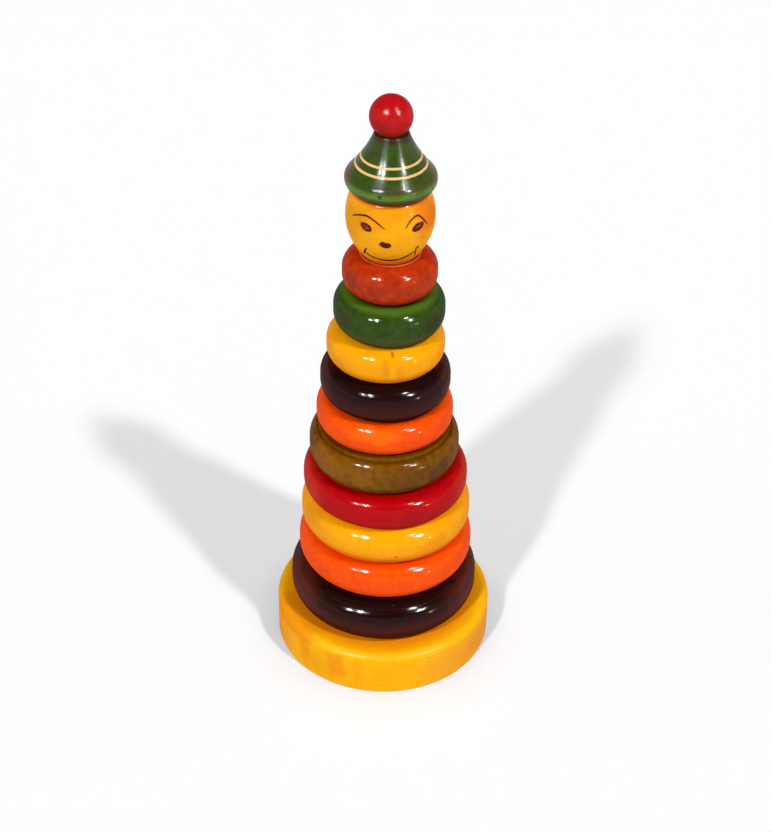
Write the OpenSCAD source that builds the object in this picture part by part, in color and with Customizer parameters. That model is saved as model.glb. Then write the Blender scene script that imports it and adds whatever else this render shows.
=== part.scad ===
// Wooden stacking ring toy: ten turned rings on a peg, topped by a clown's head in a pointed hat.
// The origin is the middle of the base's underside, +Z is up and the face looks along -Y.

/* [Base and peg] */
// Diameter of the base
base_d = 100; // [90:1:120]
// Thickness of the base
base_h = 21.8; // [18:0.1:30]
// Rounding of the base's top edge
base_top_edge = 3.8; // [1:0.1:6]
// Rounding of the base's bottom edge
base_foot_edge = 1; // [0.4:0.1:2]
// Wood left under the peg's socket
socket_floor = 6; // [3:0.5:9]
// Diameter of the peg
peg_d = 12; // [8:0.5:14]
// Bevel on the peg's two ends
peg_bevel = 1.2; // [0.5:0.1:2.5]
// Room for glue around a glued peg or spigot
glue_gap = 0.05; // [0.03:0.01:0.15]

/* [Rings, from the bottom up] */
// Diameter of the wide aubergine ring
aubergine_wide_d = 86.2; // [80:0.2:90]
// Thickness of the wide aubergine ring
aubergine_wide_h = 23.3; // [15:0.1:26]
// Diameter of the wide orange ring
orange_wide_d = 79.4; // [74:0.2:84]
// Thickness of the wide orange ring
orange_wide_h = 19.5; // [15:0.1:24]
// Diameter of the wide yellow ring
yellow_wide_d = 76.8; // [72:0.2:80]
// Thickness of the wide yellow ring
yellow_wide_h = 18.8; // [15:0.1:24]
// Diameter of the crimson ring
crimson_d = 74; // [68:0.2:78]
// Thickness of the crimson ring
crimson_h = 16.2; // [14:0.1:22]
// Diameter of the olive ring
olive_d = 66.8; // [62:0.2:72]
// Thickness of the olive ring
olive_h = 20; // [15:0.1:24]
// Diameter of the narrow orange ring
orange_narrow_d = 60.4; // [56:0.2:66]
// Thickness of the narrow orange ring
orange_narrow_h = 15.6; // [14:0.1:20]
// Diameter of the narrow aubergine ring
aubergine_narrow_d = 57; // [52:0.2:62]
// Thickness of the narrow aubergine ring
aubergine_narrow_h = 18.7; // [14:0.1:22]
// Diameter of the narrow yellow ring
yellow_narrow_d = 51.2; // [48:0.2:56]
// Thickness of the narrow yellow ring
yellow_narrow_h = 16.5; // [14:0.1:20]
// Diameter of the green ring
green_d = 47.8; // [44:0.2:52]
// Thickness of the green ring
green_h = 18.8; // [14:0.1:20]
// Diameter of the brick-red ring
brick_d = 40.4; // [38:0.2:46]
// Thickness of the brick-red ring
brick_h = 17.6; // [14:0.1:18]
// Share of a ring's thickness that its edge rounding takes up
ring_roundness = 0.42; // [0.3:0.01:0.48]
// Radial room between a ring's hole and the peg
ring_play = 0.8; // [0.3:0.1:1.5]
// Countersink at both mouths of a ring's hole
hole_bevel = 0.8; // [0.3:0.1:1.5]

/* [Groove turned in the olive ring's shoulder] */
// Distance of the groove's middle from the ring's edge
groove_inset = 3; // [2:0.1:5]
// Radius of the groove
groove_r = 1.6; // [0.8:0.1:2.5]
// Depth of the groove
groove_deep = 0.45; // [0.2:0.05:0.8]

/* [Head] */
// Height of the head
head_h = 29.9; // [28:0.1:36]
// Widest diameter of the head
head_d = 37.3; // [34:0.1:42]
// Height of the widest place above the head's bottom
head_widest = 18; // [15:0.1:20]
// Radius of the head's barrel curve
head_curve = 25.9; // [22:0.1:34]
// Depth of the hole that takes the peg
head_hole_deep = 19; // [12:0.5:20]
// Radial room between the head's hole and the peg
head_play = 0.5; // [0.2:0.1:1]
// Room left over the peg's tip
tip_gap = 1.5; // [0.5:0.1:3]
// Wood between the peg's hole and the hat's socket
head_web = 3; // [2:0.1:4]

/* [Hat and bobble] */
// Height of the hat
hat_h = 25.2; // [22:0.1:30]
// Diameter of the brim
brim_d = 38.2; // [34:0.1:42]
// Radius of the brim's rolled edge
brim_roll = 4.9; // [3:0.1:6]
// Height of the rolled edge's middle above the hat's bottom
brim_z = 4.9; // [4.5:0.1:6]
// Diameter of the hat's top
hat_top_d = 14.2; // [12.4:0.1:16]
// Radius of the hollow sweep between brim and top
hat_sweep = 50; // [36:1:80]
// Diameter of the hat's spigot in the head
hat_spigot_d = 9; // [6:0.5:12]
// Diameter of the bobble
bobble_d = 17.8; // [15:0.1:22]
// Diameter of the flat that the bobble stands on
bobble_foot_d = 11.4; // [9:0.1:12]
// Diameter of the bobble's spigot in the hat
bobble_spigot_d = 5; // [3:0.5:7]
// Length of the bobble's spigot
bobble_spigot_long = 9; // [5:0.5:12]
// Room at the blind end of a glued spigot
spigot_end_gap = 0.5; // [0.2:0.1:1.5]

/* [Painted lines and face] */
// Thickness of the paint
paint_t = 0.2; // [0.1:0.05:0.4]
// Height of the cream lines, measured upright
cream_w = 0.85; // [0.4:0.05:1.5]
// Height of the lower cream line above the hat's bottom
lower_cream_z = 11.8; // [10.5:0.1:13]
// Height of the upper cream line above the hat's bottom
upper_cream_z = 14.9; // [14:0.1:18]
// Width of the brush lines of the face
brush_w = 0.6; // [0.4:0.05:1]
// Length of an eye
eye_long = 4.8; // [3:0.1:6]
// Height of an eye
eye_tall = 3.8; // [2.4:0.1:4.6]
// Slant of the eyes, falling towards the nose, in degrees
eye_slant = 28; // [0:1:40]
// Diameter of the olive spot in an eye
eye_spot_d = 1.7; // [1:0.1:2.2]
// Length of the nose spot
nose_long = 5; // [3:0.1:6]
// Height of the nose spot
nose_tall = 3; // [2:0.1:4]

/* [Hidden] */
$fn = 128;

yellow_lac = "#f9a709";
orange_lac = "#f5540b";
aubergine_lac = "#2c1212";
crimson_lac = "#b40a14";
olive_lac = "#7f5208";
green_lac = "#3f5c21";
brick_lac = "#be3214";
bobble_red = "#c2101b";
cream_lac = "#f6ce8b";
face_brown = "#4a1d0c";
spot_olive = "#6b4a1c";
bare_wood = "#c9a06a";

// Heights of what is stacked on what, from the table up
aubergine_wide_z = base_h;
orange_wide_z = aubergine_wide_z + aubergine_wide_h;
yellow_wide_z = orange_wide_z + orange_wide_h;
crimson_z = yellow_wide_z + yellow_wide_h;
olive_z = crimson_z + crimson_h;
orange_narrow_z = olive_z + olive_h;
aubergine_narrow_z = orange_narrow_z + orange_narrow_h;
yellow_narrow_z = aubergine_narrow_z + aubergine_narrow_h;
green_z = yellow_narrow_z + yellow_narrow_h;
brick_z = green_z + green_h;
head_z = brick_z + brick_h;
hat_z = head_z + head_h;
bobble_z = hat_z + hat_h;
peg_top_z = head_z + head_hole_deep - tip_gap;

// The head's side is one arc, whose centre lies past the axis, so that it is a barrel and no ball
head_curve_x = head_d / 2 - head_curve;
hat_socket_deep = head_h - head_hole_deep - head_web;
hat_spigot_long = hat_socket_deep - spigot_end_gap;

// The brim's roll and the hollow sweep over it are two circles that touch
roll_x = brim_d / 2 - brim_roll;
sweep_centre = far_meeting([roll_x, brim_z], brim_roll + hat_sweep, [hat_top_d / 2, hat_h], hat_sweep);
bobble_up = sqrt(pow(bobble_d / 2, 2) - pow(bobble_foot_d / 2, 2));

// How far a cut runs past the surface that it opens
past = 1;

// The meeting point of two circles that lies to the right of the way from the first to the second
function far_meeting(a, ra, b, rb) =
    let (d = norm(b - a), along = (ra * ra - rb * rb + d * d) / (2 * d), u = (b - a) / d,
        aside = sqrt(ra * ra - along * along))
    a + u * along + [u[1], -u[0]] * aside;

// The middle of the circle through three points
function circle_centre(a, b, c) =
    let (p = b - a, q = c - a, w = 2 * (p[0] * q[1] - p[1] * q[0]))
    a + [q[1] * (p * p) - p[1] * (q * q), p[0] * (q * q) - q[0] * (p * p)] / w;

// Half the outline of a disc with rounded edges, standing on z = 0
module disc_outline(r, h, top_edge, bottom_edge) {
    square([r - max(top_edge, bottom_edge), h]);
    translate([0, bottom_edge]) square([r, h - top_edge - bottom_edge]);
    square([r - bottom_edge, bottom_edge]);
    translate([0, h - top_edge]) square([r - top_edge, top_edge]);
    translate([r - bottom_edge, bottom_edge]) circle(r = bottom_edge);
    translate([r - top_edge, h - top_edge]) circle(r = top_edge);
}

// A round plug along +Z with both ends bevelled
module bevelled_plug(r, h, bevel) {
    rotate_extrude()
    polygon([[0, 0], [r - bevel, 0], [r, bevel], [r, h - bevel], [r - bevel, h], [0, h]]);
}

module base() {
    color(yellow_lac)
    difference() {
        rotate_extrude() disc_outline(base_d / 2, base_h, base_top_edge, base_foot_edge);
        translate([0, 0, socket_floor]) cylinder(r = peg_d / 2 + glue_gap, h = base_h);
    }
}

module peg() {
    color(bare_wood)
    translate([0, 0, socket_floor]) bevelled_plug(peg_d / 2, peg_top_z - socket_floor, peg_bevel);
}

// The hole through a ring, with a countersink at both mouths
module ring_hole(h) {
    r = peg_d / 2 + ring_play;
    translate([0, 0, -past]) cylinder(r = r, h = h + 2 * past);
    cylinder(r1 = r + hole_bevel, r2 = r, h = hole_bevel);
    translate([0, 0, h - hole_bevel]) cylinder(r1 = r, r2 = r + hole_bevel, h = hole_bevel);
}

// A ring with rounded edges, whose underside lies at a height
module plain_ring(d, h, z) {
    edge = ring_roundness * h;
    translate([0, 0, z])
    difference() {
        rotate_extrude() disc_outline(d / 2, h, edge, edge);
        ring_hole(h);
    }
}

module ring_aubergine_wide() {
    color(aubergine_lac) plain_ring(aubergine_wide_d, aubergine_wide_h, aubergine_wide_z);
}

module ring_orange_wide() {
    color(orange_lac) plain_ring(orange_wide_d, orange_wide_h, orange_wide_z);
}

module ring_yellow_wide() {
    color(yellow_lac) plain_ring(yellow_wide_d, yellow_wide_h, yellow_wide_z);
}

module ring_crimson() {
    color(crimson_lac) plain_ring(crimson_d, crimson_h, crimson_z);
}

// The olive ring has a shallow groove round its top shoulder
module ring_olive() {
    edge = ring_roundness * olive_h;
    shoulder_x = olive_d / 2 - edge;
    lift = asin((edge - groove_inset) / edge);
    out = edge + groove_r - groove_deep;
    middle = [shoulder_x + out * sin(lift), olive_h - edge + out * cos(lift)];
    color(olive_lac)
    difference() {
        plain_ring(olive_d, olive_h, olive_z);
        translate([0, 0, olive_z])
        rotate_extrude() translate(middle) circle(r = groove_r);
    }
}

module ring_orange_narrow() {
    color(orange_lac) plain_ring(orange_narrow_d, orange_narrow_h, orange_narrow_z);
}

module ring_aubergine_narrow() {
    color(aubergine_lac) plain_ring(aubergine_narrow_d, aubergine_narrow_h, aubergine_narrow_z);
}

module ring_yellow_narrow() {
    color(yellow_lac) plain_ring(yellow_narrow_d, yellow_narrow_h, yellow_narrow_z);
}

module ring_green() {
    color(green_lac) plain_ring(green_d, green_h, green_z);
}

module ring_brick() {
    color(brick_lac) plain_ring(brick_d, brick_h, brick_z);
}

// The head's barrel, grown by a coat of paint
module head_barrel(grow) {
    rotate_extrude()
    intersection() {
        translate([head_curve_x, head_widest]) circle(r = head_curve + grow);
        square([head_d, head_h]);
    }
}

module head() {
    hole_r = peg_d / 2 + head_play;
    color(yellow_lac)
    translate([0, 0, head_z])
    difference() {
        head_barrel(0);
        translate([0, 0, -past]) cylinder(r = hole_r, h = head_hole_deep + past);
        translate([0, 0, head_h - hat_socket_deep])
        cylinder(r = hat_spigot_d / 2 + glue_gap, h = hat_socket_deep + past);
    }
}

// Half the hat's outline over its flat bottom, grown by a coat of paint
module hat_outline(grow) {
    difference() {
        union() {
            square([roll_x, hat_h]);
            translate([0, brim_z]) square([brim_d / 2, hat_h - brim_z]);
        }
        translate(sweep_centre) circle(r = hat_sweep - grow);
        above_roll();
    }
    intersection() {
        translate([roll_x, brim_z]) circle(r = brim_roll + grow);
        square([brim_d, hat_h]);
    }
}

// What lies outside the line from the roll's middle to the sweep's middle
module above_roll() {
    corner = [roll_x, brim_z];
    polygon([corner, sweep_centre, [sweep_centre[0], brim_z]]);
}

module hat() {
    color(green_lac)
    translate([0, 0, hat_z])
    difference() {
        union() {
            rotate_extrude() hat_outline(0);
            translate([0, 0, -hat_spigot_long])
            cylinder(r = hat_spigot_d / 2, h = hat_spigot_long + past);
        }
        translate([0, 0, hat_h - bobble_spigot_long - spigot_end_gap])
        cylinder(r = bobble_spigot_d / 2 + glue_gap, h = bobble_spigot_long + spigot_end_gap + past);
    }
}

module bobble() {
    color(bobble_red)
    translate([0, 0, bobble_z]) {
        difference() {
            translate([0, 0, bobble_up]) sphere(r = bobble_d / 2);
            translate([0, 0, -bobble_d]) cylinder(r = bobble_d, h = bobble_d);
        }
        translate([0, 0, -bobble_spigot_long])
        cylinder(r = bobble_spigot_d / 2, h = bobble_spigot_long + past);
    }
}

// A band of paint round the hat, from one height to another
module hat_band(z) {
    difference() {
        rotate_extrude()
        intersection() {
            hat_outline(paint_t);
            translate([0, z - cream_w / 2]) square([brim_d, cream_w]);
        }
        rotate_extrude() hat_outline(0);
    }
}

module hat_cream_lines() {
    color(cream_lac)
    translate([0, 0, hat_z]) {
        hat_band(lower_cream_z);
        hat_band(upper_cream_z);
    }
}

// A brush line along the arc through three points, seen from the front
module brush_arc(a, b, c) {
    centre = circle_centre(a, b, c);
    r = norm(b - centre);
    intersection() {
        translate(centre)
        difference() {
            circle(r = r + brush_w / 2, $fn = 360);
            circle(r = r - brush_w / 2, $fn = 360);
        }
        polygon([centre, centre + 2 * (a - centre), centre + 3 * (b - centre), centre + 2 * (c - centre)]);
    }
}

// A straight brush line between two points, seen from the front
module brush_line(a, b) {
    side = [a[1] - b[1], b[0] - a[0]] / norm(b - a) * brush_w / 2;
    polygon([a + side, a - side, b - side, b + side]);
}

// An almond of two arcs, long along X
module almond(long, tall) {
    r = (long * long + tall * tall) / (4 * tall);
    intersection() {
        translate([0, r - tall / 2]) circle(r = r);
        translate([0, tall / 2 - r]) circle(r = r);
    }
}

// What is painted on the front of the head: a flat drawing laid on its barrel
module on_the_face() {
    intersection() {
        translate([0, 0, head_z])
        difference() {
            head_barrel(paint_t);
            head_barrel(0);
        }
        translate([0, 0, head_z]) rotate([90, 0, 0]) linear_extrude(height = head_d) children();
    }
}

// Places on the face, as x and height above the head's bottom
left_brow = [[-15.5, 22.2], [-9.6, 25.4], [-2.1, 20.8]];
right_brow = [[6.1, 20.5], [11.1, 24.9], [15.4, 19]];
left_eye = [-9.8, 20.5];
right_eye = [11.1, 20.2];
nose_at = [-2, 13.6];
mouth = [[-10.7, 4.8], [-0.2, 4.2], [10.4, 5.2]];
left_tick = [[-10.9, 4.4], [-9.3, 9.9]];
right_tick = [[10.3, 4.8], [10.9, 9.9]];

module face_lines() {
    color(face_brown) {
        on_the_face() brush_arc(left_brow[0], left_brow[1], left_brow[2]);
        on_the_face() brush_arc(right_brow[0], right_brow[1], right_brow[2]);
        on_the_face() {
            brush_arc(mouth[0], mouth[1], mouth[2]);
            brush_line(left_tick[0], left_tick[1]);
            brush_line(right_tick[0], right_tick[1]);
        }
        on_the_face() translate(nose_at) almond(nose_long, nose_tall);
        on_the_face() eye_outline(left_eye, -eye_slant);
        on_the_face() eye_outline(right_eye, eye_slant);
    }
}

module eye_outline(at, slant) {
    translate(at)
    difference() {
        rotate(slant) almond(eye_long, eye_tall);
        circle(r = eye_spot_d / 2);
    }
}

module eye_spots() {
    color(spot_olive) {
        on_the_face() translate(left_eye) circle(r = eye_spot_d / 2);
        on_the_face() translate(right_eye) circle(r = eye_spot_d / 2);
    }
}

base();
peg();
ring_aubergine_wide();
ring_orange_wide();
ring_yellow_wide();
ring_crimson();
ring_olive();
ring_orange_narrow();
ring_aubergine_narrow();
ring_yellow_narrow();
ring_green();
ring_brick();
head();
hat();
bobble();
hat_cream_lines();
face_lines();
eye_spots();
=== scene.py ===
"""Dresses the wooden stacking ring toy: ten turned rings on a peg under a clown's head in a pointed hat.

Every turned piece is swept round the toy's axis by a node tree, stands where its solid stands, and is
finished as lac-turned wood. Sizes of outlines are in millimetres, and meshes are in metres.
"""

import logging
import math
from dataclasses import dataclass, replace
from enum import Enum

import bmesh
import bpy
from mathutils import Matrix, Vector, noise


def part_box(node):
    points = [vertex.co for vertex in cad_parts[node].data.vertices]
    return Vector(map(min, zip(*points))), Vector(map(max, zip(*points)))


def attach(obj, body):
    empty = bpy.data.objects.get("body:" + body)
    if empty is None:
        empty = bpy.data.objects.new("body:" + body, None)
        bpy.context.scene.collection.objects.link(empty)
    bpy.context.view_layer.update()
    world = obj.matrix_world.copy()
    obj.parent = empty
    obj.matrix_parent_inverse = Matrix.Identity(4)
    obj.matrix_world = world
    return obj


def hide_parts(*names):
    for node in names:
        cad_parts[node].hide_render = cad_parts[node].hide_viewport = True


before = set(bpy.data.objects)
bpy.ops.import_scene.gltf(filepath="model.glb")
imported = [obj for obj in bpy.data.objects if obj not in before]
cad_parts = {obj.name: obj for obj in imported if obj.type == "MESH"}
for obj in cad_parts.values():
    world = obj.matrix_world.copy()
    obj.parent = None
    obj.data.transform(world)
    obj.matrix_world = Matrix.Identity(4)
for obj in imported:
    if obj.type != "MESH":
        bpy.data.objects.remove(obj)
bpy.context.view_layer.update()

LOG = logging.getLogger("ring toy")
MM = 0.001
# Points of a mesh that lie closer together than this, in metres, are doubles.
DOUBLES = 1e-7

Point = tuple[float, float]
Material = bpy.types.Material
Piece = bpy.types.Object
Socket = bpy.types.NodeSocket
Sockets = bpy.types.bpy_prop_collection
Tree = bpy.types.NodeTree
# A colour is a hex code, linear numbers, or the socket that gives it.
Colour = str | tuple[float, ...] | Socket


# Node trees in the making

def linear(code: str) -> tuple[float, float, float, float]:
    """Turns an sRGB hex colour into the linear colour that a shader takes.

    Args:
        code: The colour, such as "#f9a709".

    Returns:
        Linear red, green and blue, and an alpha of 1.
    """
    parts = [int(code[start:start + 2], 16) / 255 for start in (1, 3, 5)]
    return (*(p / 12.92 if p <= 0.04045 else ((p + 0.055) / 1.055) ** 2.4 for p in parts), 1.0)


class Nodes:
    """A node tree in the making, to which nodes and steps of arithmetic are added."""

    def __init__(self, tree: Tree) -> None:
        """Takes the tree and clears it."""
        tree.nodes.clear()
        self.tree = tree

    def add(self, kind: str, inputs: dict | None = None, **settings) -> bpy.types.Node:
        """Adds a node, with its settings and its links.

        Args:
            kind: The node's type.
            inputs: For an input's name or number, a plain value, the socket of another node, or that
                node, which stands for its first output.
            settings: The node's own settings, by name.

        Returns:
            The new node.
        """
        node = self.tree.nodes.new(kind)
        for name, value in settings.items():
            setattr(node, name, value)
        for key, value in (inputs or {}).items():
            value = value.outputs[0] if isinstance(value, bpy.types.Node) else value
            if isinstance(value, Socket):
                self.tree.links.new(value, node.inputs[key])
            else:
                node.inputs[key].default_value = value
        return node

    def reckon(self, operation: str, *values, vectors: bool = False) -> Socket:
        """Works out one step of arithmetic.

        Args:
            operation: The step, such as "MULTIPLY".
            values: Plain values, sockets of other nodes, or nodes, which stand for their first outputs.
            vectors: Whether the step is one on vectors.

        Returns:
            The socket that holds the result, which is a number for a vector's length.
        """
        kind = "ShaderNodeVectorMath" if vectors else "ShaderNodeMath"
        outputs = self.add(kind, dict(enumerate(values)), operation=operation).outputs
        return outputs["Value"] if operation == "LENGTH" else outputs[0]

    def meridian(self, place: Socket) -> tuple[Socket, Socket]:
        """Splits a place into what a lathe knows of it.

        Args:
            place: The socket of the place.

        Returns:
            The sockets of its distance from the axis and of its height.
        """
        flat = self.reckon("MULTIPLY", place, (1, 1, 0), vectors=True)
        height = self.add("ShaderNodeSeparateXYZ", {0: place}).outputs["Z"]
        return self.reckon("LENGTH", flat, vectors=True), height

    def cover(self, under: Colour, over: Colour, mask: Socket, strength: float = 1.0) -> Socket:
        """Lays one colour over another where a mask is white.

        Args:
            under: The lower colour.
            over: The upper colour.
            mask: The socket of the mask.
            strength: How much of the upper colour a white mask gives.

        Returns:
            The socket of the mixed colour.
        """
        share = self.reckon("MULTIPLY", mask, strength)
        under, over = (linear(colour) if isinstance(colour, str) else colour for colour in (under, over))
        return self.add("ShaderNodeMix", {0: share, 6: under, 7: over}, data_type="RGBA").outputs[2]


class Surface(Nodes):
    """The nodes of a new material, whose patterns lie on the piece itself and have real sizes."""

    # Noise gathers round its middle value, and this much of it is spread from 0 to 1.
    SPREAD = (0.36, 0.64)

    def __init__(self, name: str, aside: float = 0.0) -> None:
        """Starts the material.

        Args:
            name: Its name.
            aside: How far the piece's own axis lies to the right of the peg's, in millimetres.
        """
        self.material = bpy.data.materials.new(name)
        self.material.use_nodes = True
        super().__init__(self.material.node_tree)
        place = self.add("ShaderNodeTexCoord").outputs["Object"]
        self.place = self.reckon("SUBTRACT", place, (aside * MM, 0, 0), vectors=True)

    def patches(self, wide: float, detail: float, long: float | None = None,
                place: Socket | None = None) -> Socket:
        """Draws soft patches of a real size.

        Args:
            wide: A patch's size, in millimetres.
            detail: How many finer layers it has.
            long: Its size along the axis, where that differs.
            place: The place that it reads, where that isn't the place on the piece.

        Returns:
            The socket of a value from 0 to 1.
        """
        scale = tuple(1 / (size * MM) for size in (wide, wide, long or wide))
        scaled = self.reckon("MULTIPLY", self.place if place is None else place, scale, vectors=True)
        cloud = self.add("ShaderNodeTexNoise", {"Vector": scaled, "Scale": 1.0, "Detail": detail})
        low, high = self.SPREAD
        return self.add("ShaderNodeMapRange", {
            "Value": cloud, "From Min": low, "From Max": high}).outputs[0]

    def end(self, shader: bpy.types.Node) -> Material:
        """Gives the material its finished shader, and hands the material over."""
        self.add("ShaderNodeOutputMaterial", {"Surface": shader})
        return self.material


# Finishes

@dataclass(frozen=True)
class Mark:
    """A stain, chip or worn spot at one place of a lacquered piece, or a patch of painted shade, light or
    reflection.

    The azimuth is in degrees from the front, growing to the right as seen from there. The inset is
    measured from the piece's widest part, and the drop from its top, in millimetres.
    """

    azimuth: float
    inset: float
    drop: float
    wide: float
    tall: float
    colour: str
    strength: float = 0.8
    ragged: float = 1.0

    def place(self, outer: float, top: float) -> tuple[float, float, float]:
        """Finds the mark's middle.

        Args:
            outer: The piece's outer radius, in millimetres.
            top: The height of its top.

        Returns:
            The middle, in metres.
        """
        turn = math.radians(self.azimuth)
        out = (outer - self.inset) * MM
        return (out * math.sin(turn), -out * math.cos(turn), (top - self.drop) * MM)


@dataclass(frozen=True)
class Band:
    """A band round a piece: mostly painted shade, light or reflection, and sometimes a fine line or a dull
    strip.

    The inset is measured from the piece's widest part, and the drop from its top, in millimetres. The
    band fades out over the soft share of its half width. Where the leaf didn't reach, it is dull.
    """

    inset: float
    drop: float
    wide: float
    colour: str
    strength: float = 0.7
    soft: float = 0.6
    dull: float = 0.0


class LacSurface(Surface):
    """The nodes of a lac-turned piece, which know how far out and how high a place on it lies."""

    # The rings that the tool left run out of true by this share of their radius.
    DRIFT = 0.02
    # A mark fades between these shares of its half size. Its rim frays in patches, and this many of them
    # are as long as its width and height together.
    MARK_FADE = (1.15, 0.45)
    MARK_FRAY = 5
    # Grains of dust lie in cells of this size, and a grain has this radius, in millimetres.
    SPECK_CELL = 2.4
    SPECK_RADIUS = 0.264
    # The lac's edge round a hole wanders by this much, in patches of that size, in millimetres.
    EDGE_FRAY = 0.8
    EDGE_PATCH = 2.5

    def __init__(self, name: str, outer: float, top: float, aside: float) -> None:
        """Starts the material.

        Args:
            name: Its name.
            outer: The piece's outer radius, in millimetres, from which bands and marks are inset.
            top: The height of its top, from which they drop.
            aside: How far the piece's own axis lies to the right of the peg's.
        """
        super().__init__(name, aside)
        self.outer = outer
        self.top = top
        self.radius, self.height = self.meridian(self.place)

    def turning(self, wide: float) -> Socket:
        """Draws the fine rings that the tool, the lac stick and the leaf leave round the axis.

        Args:
            wide: How wide such a ring is, in millimetres.

        Returns:
            The socket of a value from 0 to 1.
        """
        across = self.add("ShaderNodeCombineXYZ", {0: self.radius, 1: self.height}).outputs[0]
        drift = self.reckon("MULTIPLY", self.place, (self.DRIFT, self.DRIFT, 0.0), vectors=True)
        return self.patches(wide, detail=2, place=self.reckon("ADD", across, drift, vectors=True))

    def mark_mask(self, mark: Mark) -> Socket:
        """Finds where a mark lies, with a soft and slightly ragged rim.

        Args:
            mark: The mark.

        Returns:
            The socket of its mask.
        """
        shift = self.reckon("SUBTRACT", self.place, mark.place(self.outer, self.top), vectors=True)
        share = tuple(2 / (size * MM) for size in (mark.wide, mark.wide, mark.tall))
        away = self.reckon("LENGTH", self.reckon("MULTIPLY", shift, share, vectors=True), vectors=True)
        cloud = self.add("ShaderNodeTexNoise", {
            "Vector": self.place, "Scale": self.MARK_FRAY / ((mark.wide + mark.tall) * MM), "Detail": 3.0})
        fray = self.reckon("MULTIPLY", self.reckon("SUBTRACT", cloud, 0.5), mark.ragged * 2)
        rim, full = self.MARK_FADE
        return self.add("ShaderNodeMapRange", {
            "Value": self.reckon("ADD", away, fray), "From Min": rim, "From Max": full,
        }, interpolation_type="SMOOTHSTEP").outputs[0]

    def band_mask(self, band: Band) -> Socket:
        """Finds where a band lies.

        Args:
            band: The band.

        Returns:
            The socket of its mask.
        """
        out = self.reckon("SUBTRACT", self.radius, (self.outer - band.inset) * MM)
        up = self.reckon("SUBTRACT", self.height, (self.top - band.drop) * MM)
        both = self.add("ShaderNodeCombineXYZ", {0: out, 1: up}).outputs[0]
        half = band.wide * MM / 2
        return self.add("ShaderNodeMapRange", {
            "Value": self.reckon("LENGTH", both, vectors=True), "From Min": half,
            "From Max": half * (1 - band.soft)}, interpolation_type="SMOOTHSTEP").outputs[0]

    def speck_mask(self, share: float) -> Socket:
        """Scatters grains of dust, up to half a millimetre wide, that set in the warm lac.

        Args:
            share: The share of the cells in which a grain lies.

        Returns:
            The socket of their mask.
        """
        cells = self.add("ShaderNodeTexVoronoi", {"Vector": self.place, "Scale": 1 / (self.SPECK_CELL * MM)})
        near = self.reckon("LESS_THAN", cells.outputs["Distance"], self.SPECK_RADIUS / self.SPECK_CELL)
        chosen = self.add("ShaderNodeSeparateColor", {0: cells.outputs["Color"]}).outputs[0]
        return self.reckon("MULTIPLY", near, self.reckon("LESS_THAN", chosen, share))

    def bare_mask(self, within: float, below: float) -> Socket:
        """Finds where the wood got no lac: in the hole and, on the base, underneath.

        Args:
            within: How far from the axis the bare wood reaches, in millimetres.
            below: The height below which it is bare.

        Returns:
            The socket of its mask.
        """
        ragged = self.add("ShaderNodeTexNoise", {
            "Vector": self.place, "Scale": 1 / (self.EDGE_PATCH * MM), "Detail": 2.0})
        fray = self.reckon("MULTIPLY_ADD", ragged, self.EDGE_FRAY * MM, self.radius)
        inside = self.reckon("LESS_THAN", fray, (within + self.EDGE_FRAY / 2) * MM)
        return self.reckon("MAXIMUM", inside, self.reckon("LESS_THAN", self.height, below * MM))


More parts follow.
